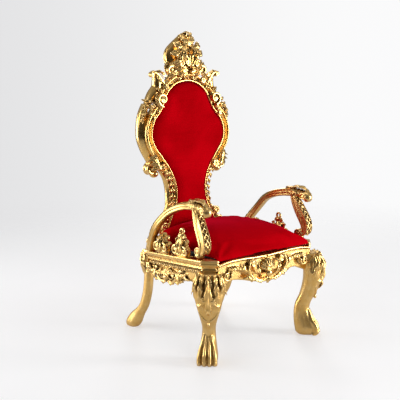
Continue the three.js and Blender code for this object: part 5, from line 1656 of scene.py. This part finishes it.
def make_room():
    """A pale backdrop for the camera, and a darker room for the gilding to mirror."""
    world = bpy.data.worlds.new("Studio")
    world.use_nodes = True
    tree = world.node_tree
    tree.nodes.clear()
    out = node(tree, "ShaderNodeOutputWorld", 900, 0)
    where = node(tree, "ShaderNodeTexCoord", -1300, 0).outputs["Generated"]

    def along(axis, lo, hi, y, to_lo=0.0, to_hi=1.0):
        made = node(tree, "ShaderNodeVectorMath", -1000, y, operation="DOT_PRODUCT")
        tree.links.new(where, made.inputs[0])
        made.inputs[1].default_value = axis
        return ranged(tree, made.outputs["Value"], lo, hi, -800, y, to_lo, to_hi)

    # The backdrop: brighter towards its right-hand end.
    seen = node(tree, "ShaderNodeBackground", 300, 300)
    rightwards = along((0.755, -0.64, 0.0), -0.34, 0.2, 300)
    backdrop = mixed(tree, rightwards, (0.76, 0.76, 0.77, 1), (0.96, 0.96, 0.965, 1), 0, 300)
    tree.links.new(backdrop, seen.inputs["Color"])
    # The room the gilding mirrors: a dark side, a pale ceiling and hanging drapes.
    far_side = along((0.655, 0.755, 0.0), -0.75, 0.75, 0)
    ceiling = along((0.0, 0.0, 1.0), 0.05, 0.75, -200)
    drape = noise(tree, where, 2.6, 2.0, 0.5, -800, -450, stretch=(1.0, 1.0, 0.4))
    drape = ranged(tree, drape, 0.42, 0.60, -600, -450)
    shade = maths(tree, "MULTIPLY", far_side, drape, -400, -100)
    shade = maths(tree, "ADD", maths(tree, "MULTIPLY", shade, 0.7, -200, -100),
                  maths(tree, "MULTIPLY", ceiling, 0.6, -200, -300), 0, -200, clamp=True)
    room = node(tree, "ShaderNodeBackground", 300, -150)
    walls = mixed(tree, shade, (0.035, 0.028, 0.022, 1), (1.0, 0.985, 0.96, 1), 100, -200)
    tree.links.new(walls, room.inputs["Color"])
    room.inputs["Strength"].default_value = 0.45
    path = node(tree, "ShaderNodeLightPath", 300, 600)
    pick = node(tree, "ShaderNodeMixShader", 600, 0)
    tree.links.new(path.outputs["Is Camera Ray"], pick.inputs[0])
    tree.links.new(room.outputs[0], pick.inputs[1])
    tree.links.new(seen.outputs[0], pick.inputs[2])
    tree.links.new(pick.outputs[0], out.inputs["Surface"])
    bpy.context.scene.world = world
    bpy.context.scene.view_settings.view_transform = "Standard"


FOCAL_LENGTH, SENSOR_WIDTH = 73.583, 36.0
CAMERA_SIDE = math.radians(-41.19)  # how far round the throne the camera stands
CAMERA_HEIGHT = 1.4171
CAMERA_TILT, CAMERA_TURN = math.radians(80.368), math.radians(-39.695)


def make_camera(distance):
    lens = bpy.data.cameras.new("Camera")
    lens.sensor_width = SENSOR_WIDTH
    lens.lens = FOCAL_LENGTH
    lens.clip_start, lens.clip_end = 0.1, 60.0
    camera = new_object("Camera", lens)
    away = -distance * math.cos(CAMERA_SIDE) + DRAWING_SHIFT_Y * MM
    camera.location = (distance * math.sin(CAMERA_SIDE), away, CAMERA_HEIGHT)
    camera.rotation_euler = (CAMERA_TILT, 0.0, CAMERA_TURN)
    bpy.context.scene.camera = camera


# ---------------------------------------------------------------- panel and running

OPERATORS = (THRONE_OT_legs, THRONE_OT_rails, THRONE_OT_arms, THRONE_OT_back, THRONE_OT_upholstery,
             THRONE_OT_stage)


class THRONE_PT_panel(bpy.types.Panel):
    """Lists the throne's settings and its steps"""

    bl_idname = "THRONE_PT_panel"
    bl_label = "Carved throne"
    bl_space_type = "VIEW_3D"
    bl_region_type = "UI"
    bl_category = "Throne"

    def draw(self, context):
        layout = self.layout
        for step in OPERATORS:
            layout.operator(step.bl_idname)
        for group in (context.scene.throne_sizes, context.scene.throne_colours):
            box = layout.box()
            for name in group.__annotations__:
                box.prop(group, name)


CLASSES = (ThroneSizes, ThroneColours) + OPERATORS + (THRONE_PT_panel,)


def register():
    for cls in CLASSES:
        bpy.utils.register_class(cls)
    bpy.types.Scene.throne_sizes = PointerProperty(type=ThroneSizes)
    bpy.types.Scene.throne_colours = PointerProperty(type=ThroneColours)


def unregister():
    del bpy.types.Scene.throne_colours
    del bpy.types.Scene.throne_sizes
    for cls in reversed(CLASSES):
        bpy.utils.unregister_class(cls)


def main():
    register()
    bpy.ops.throne.legs()
    bpy.ops.throne.rails()
    bpy.ops.throne.arms()
    bpy.ops.throne.back()
    bpy.ops.throne.upholstery()
    bpy.ops.throne.stage()


if __name__ == "__main__":
    main()
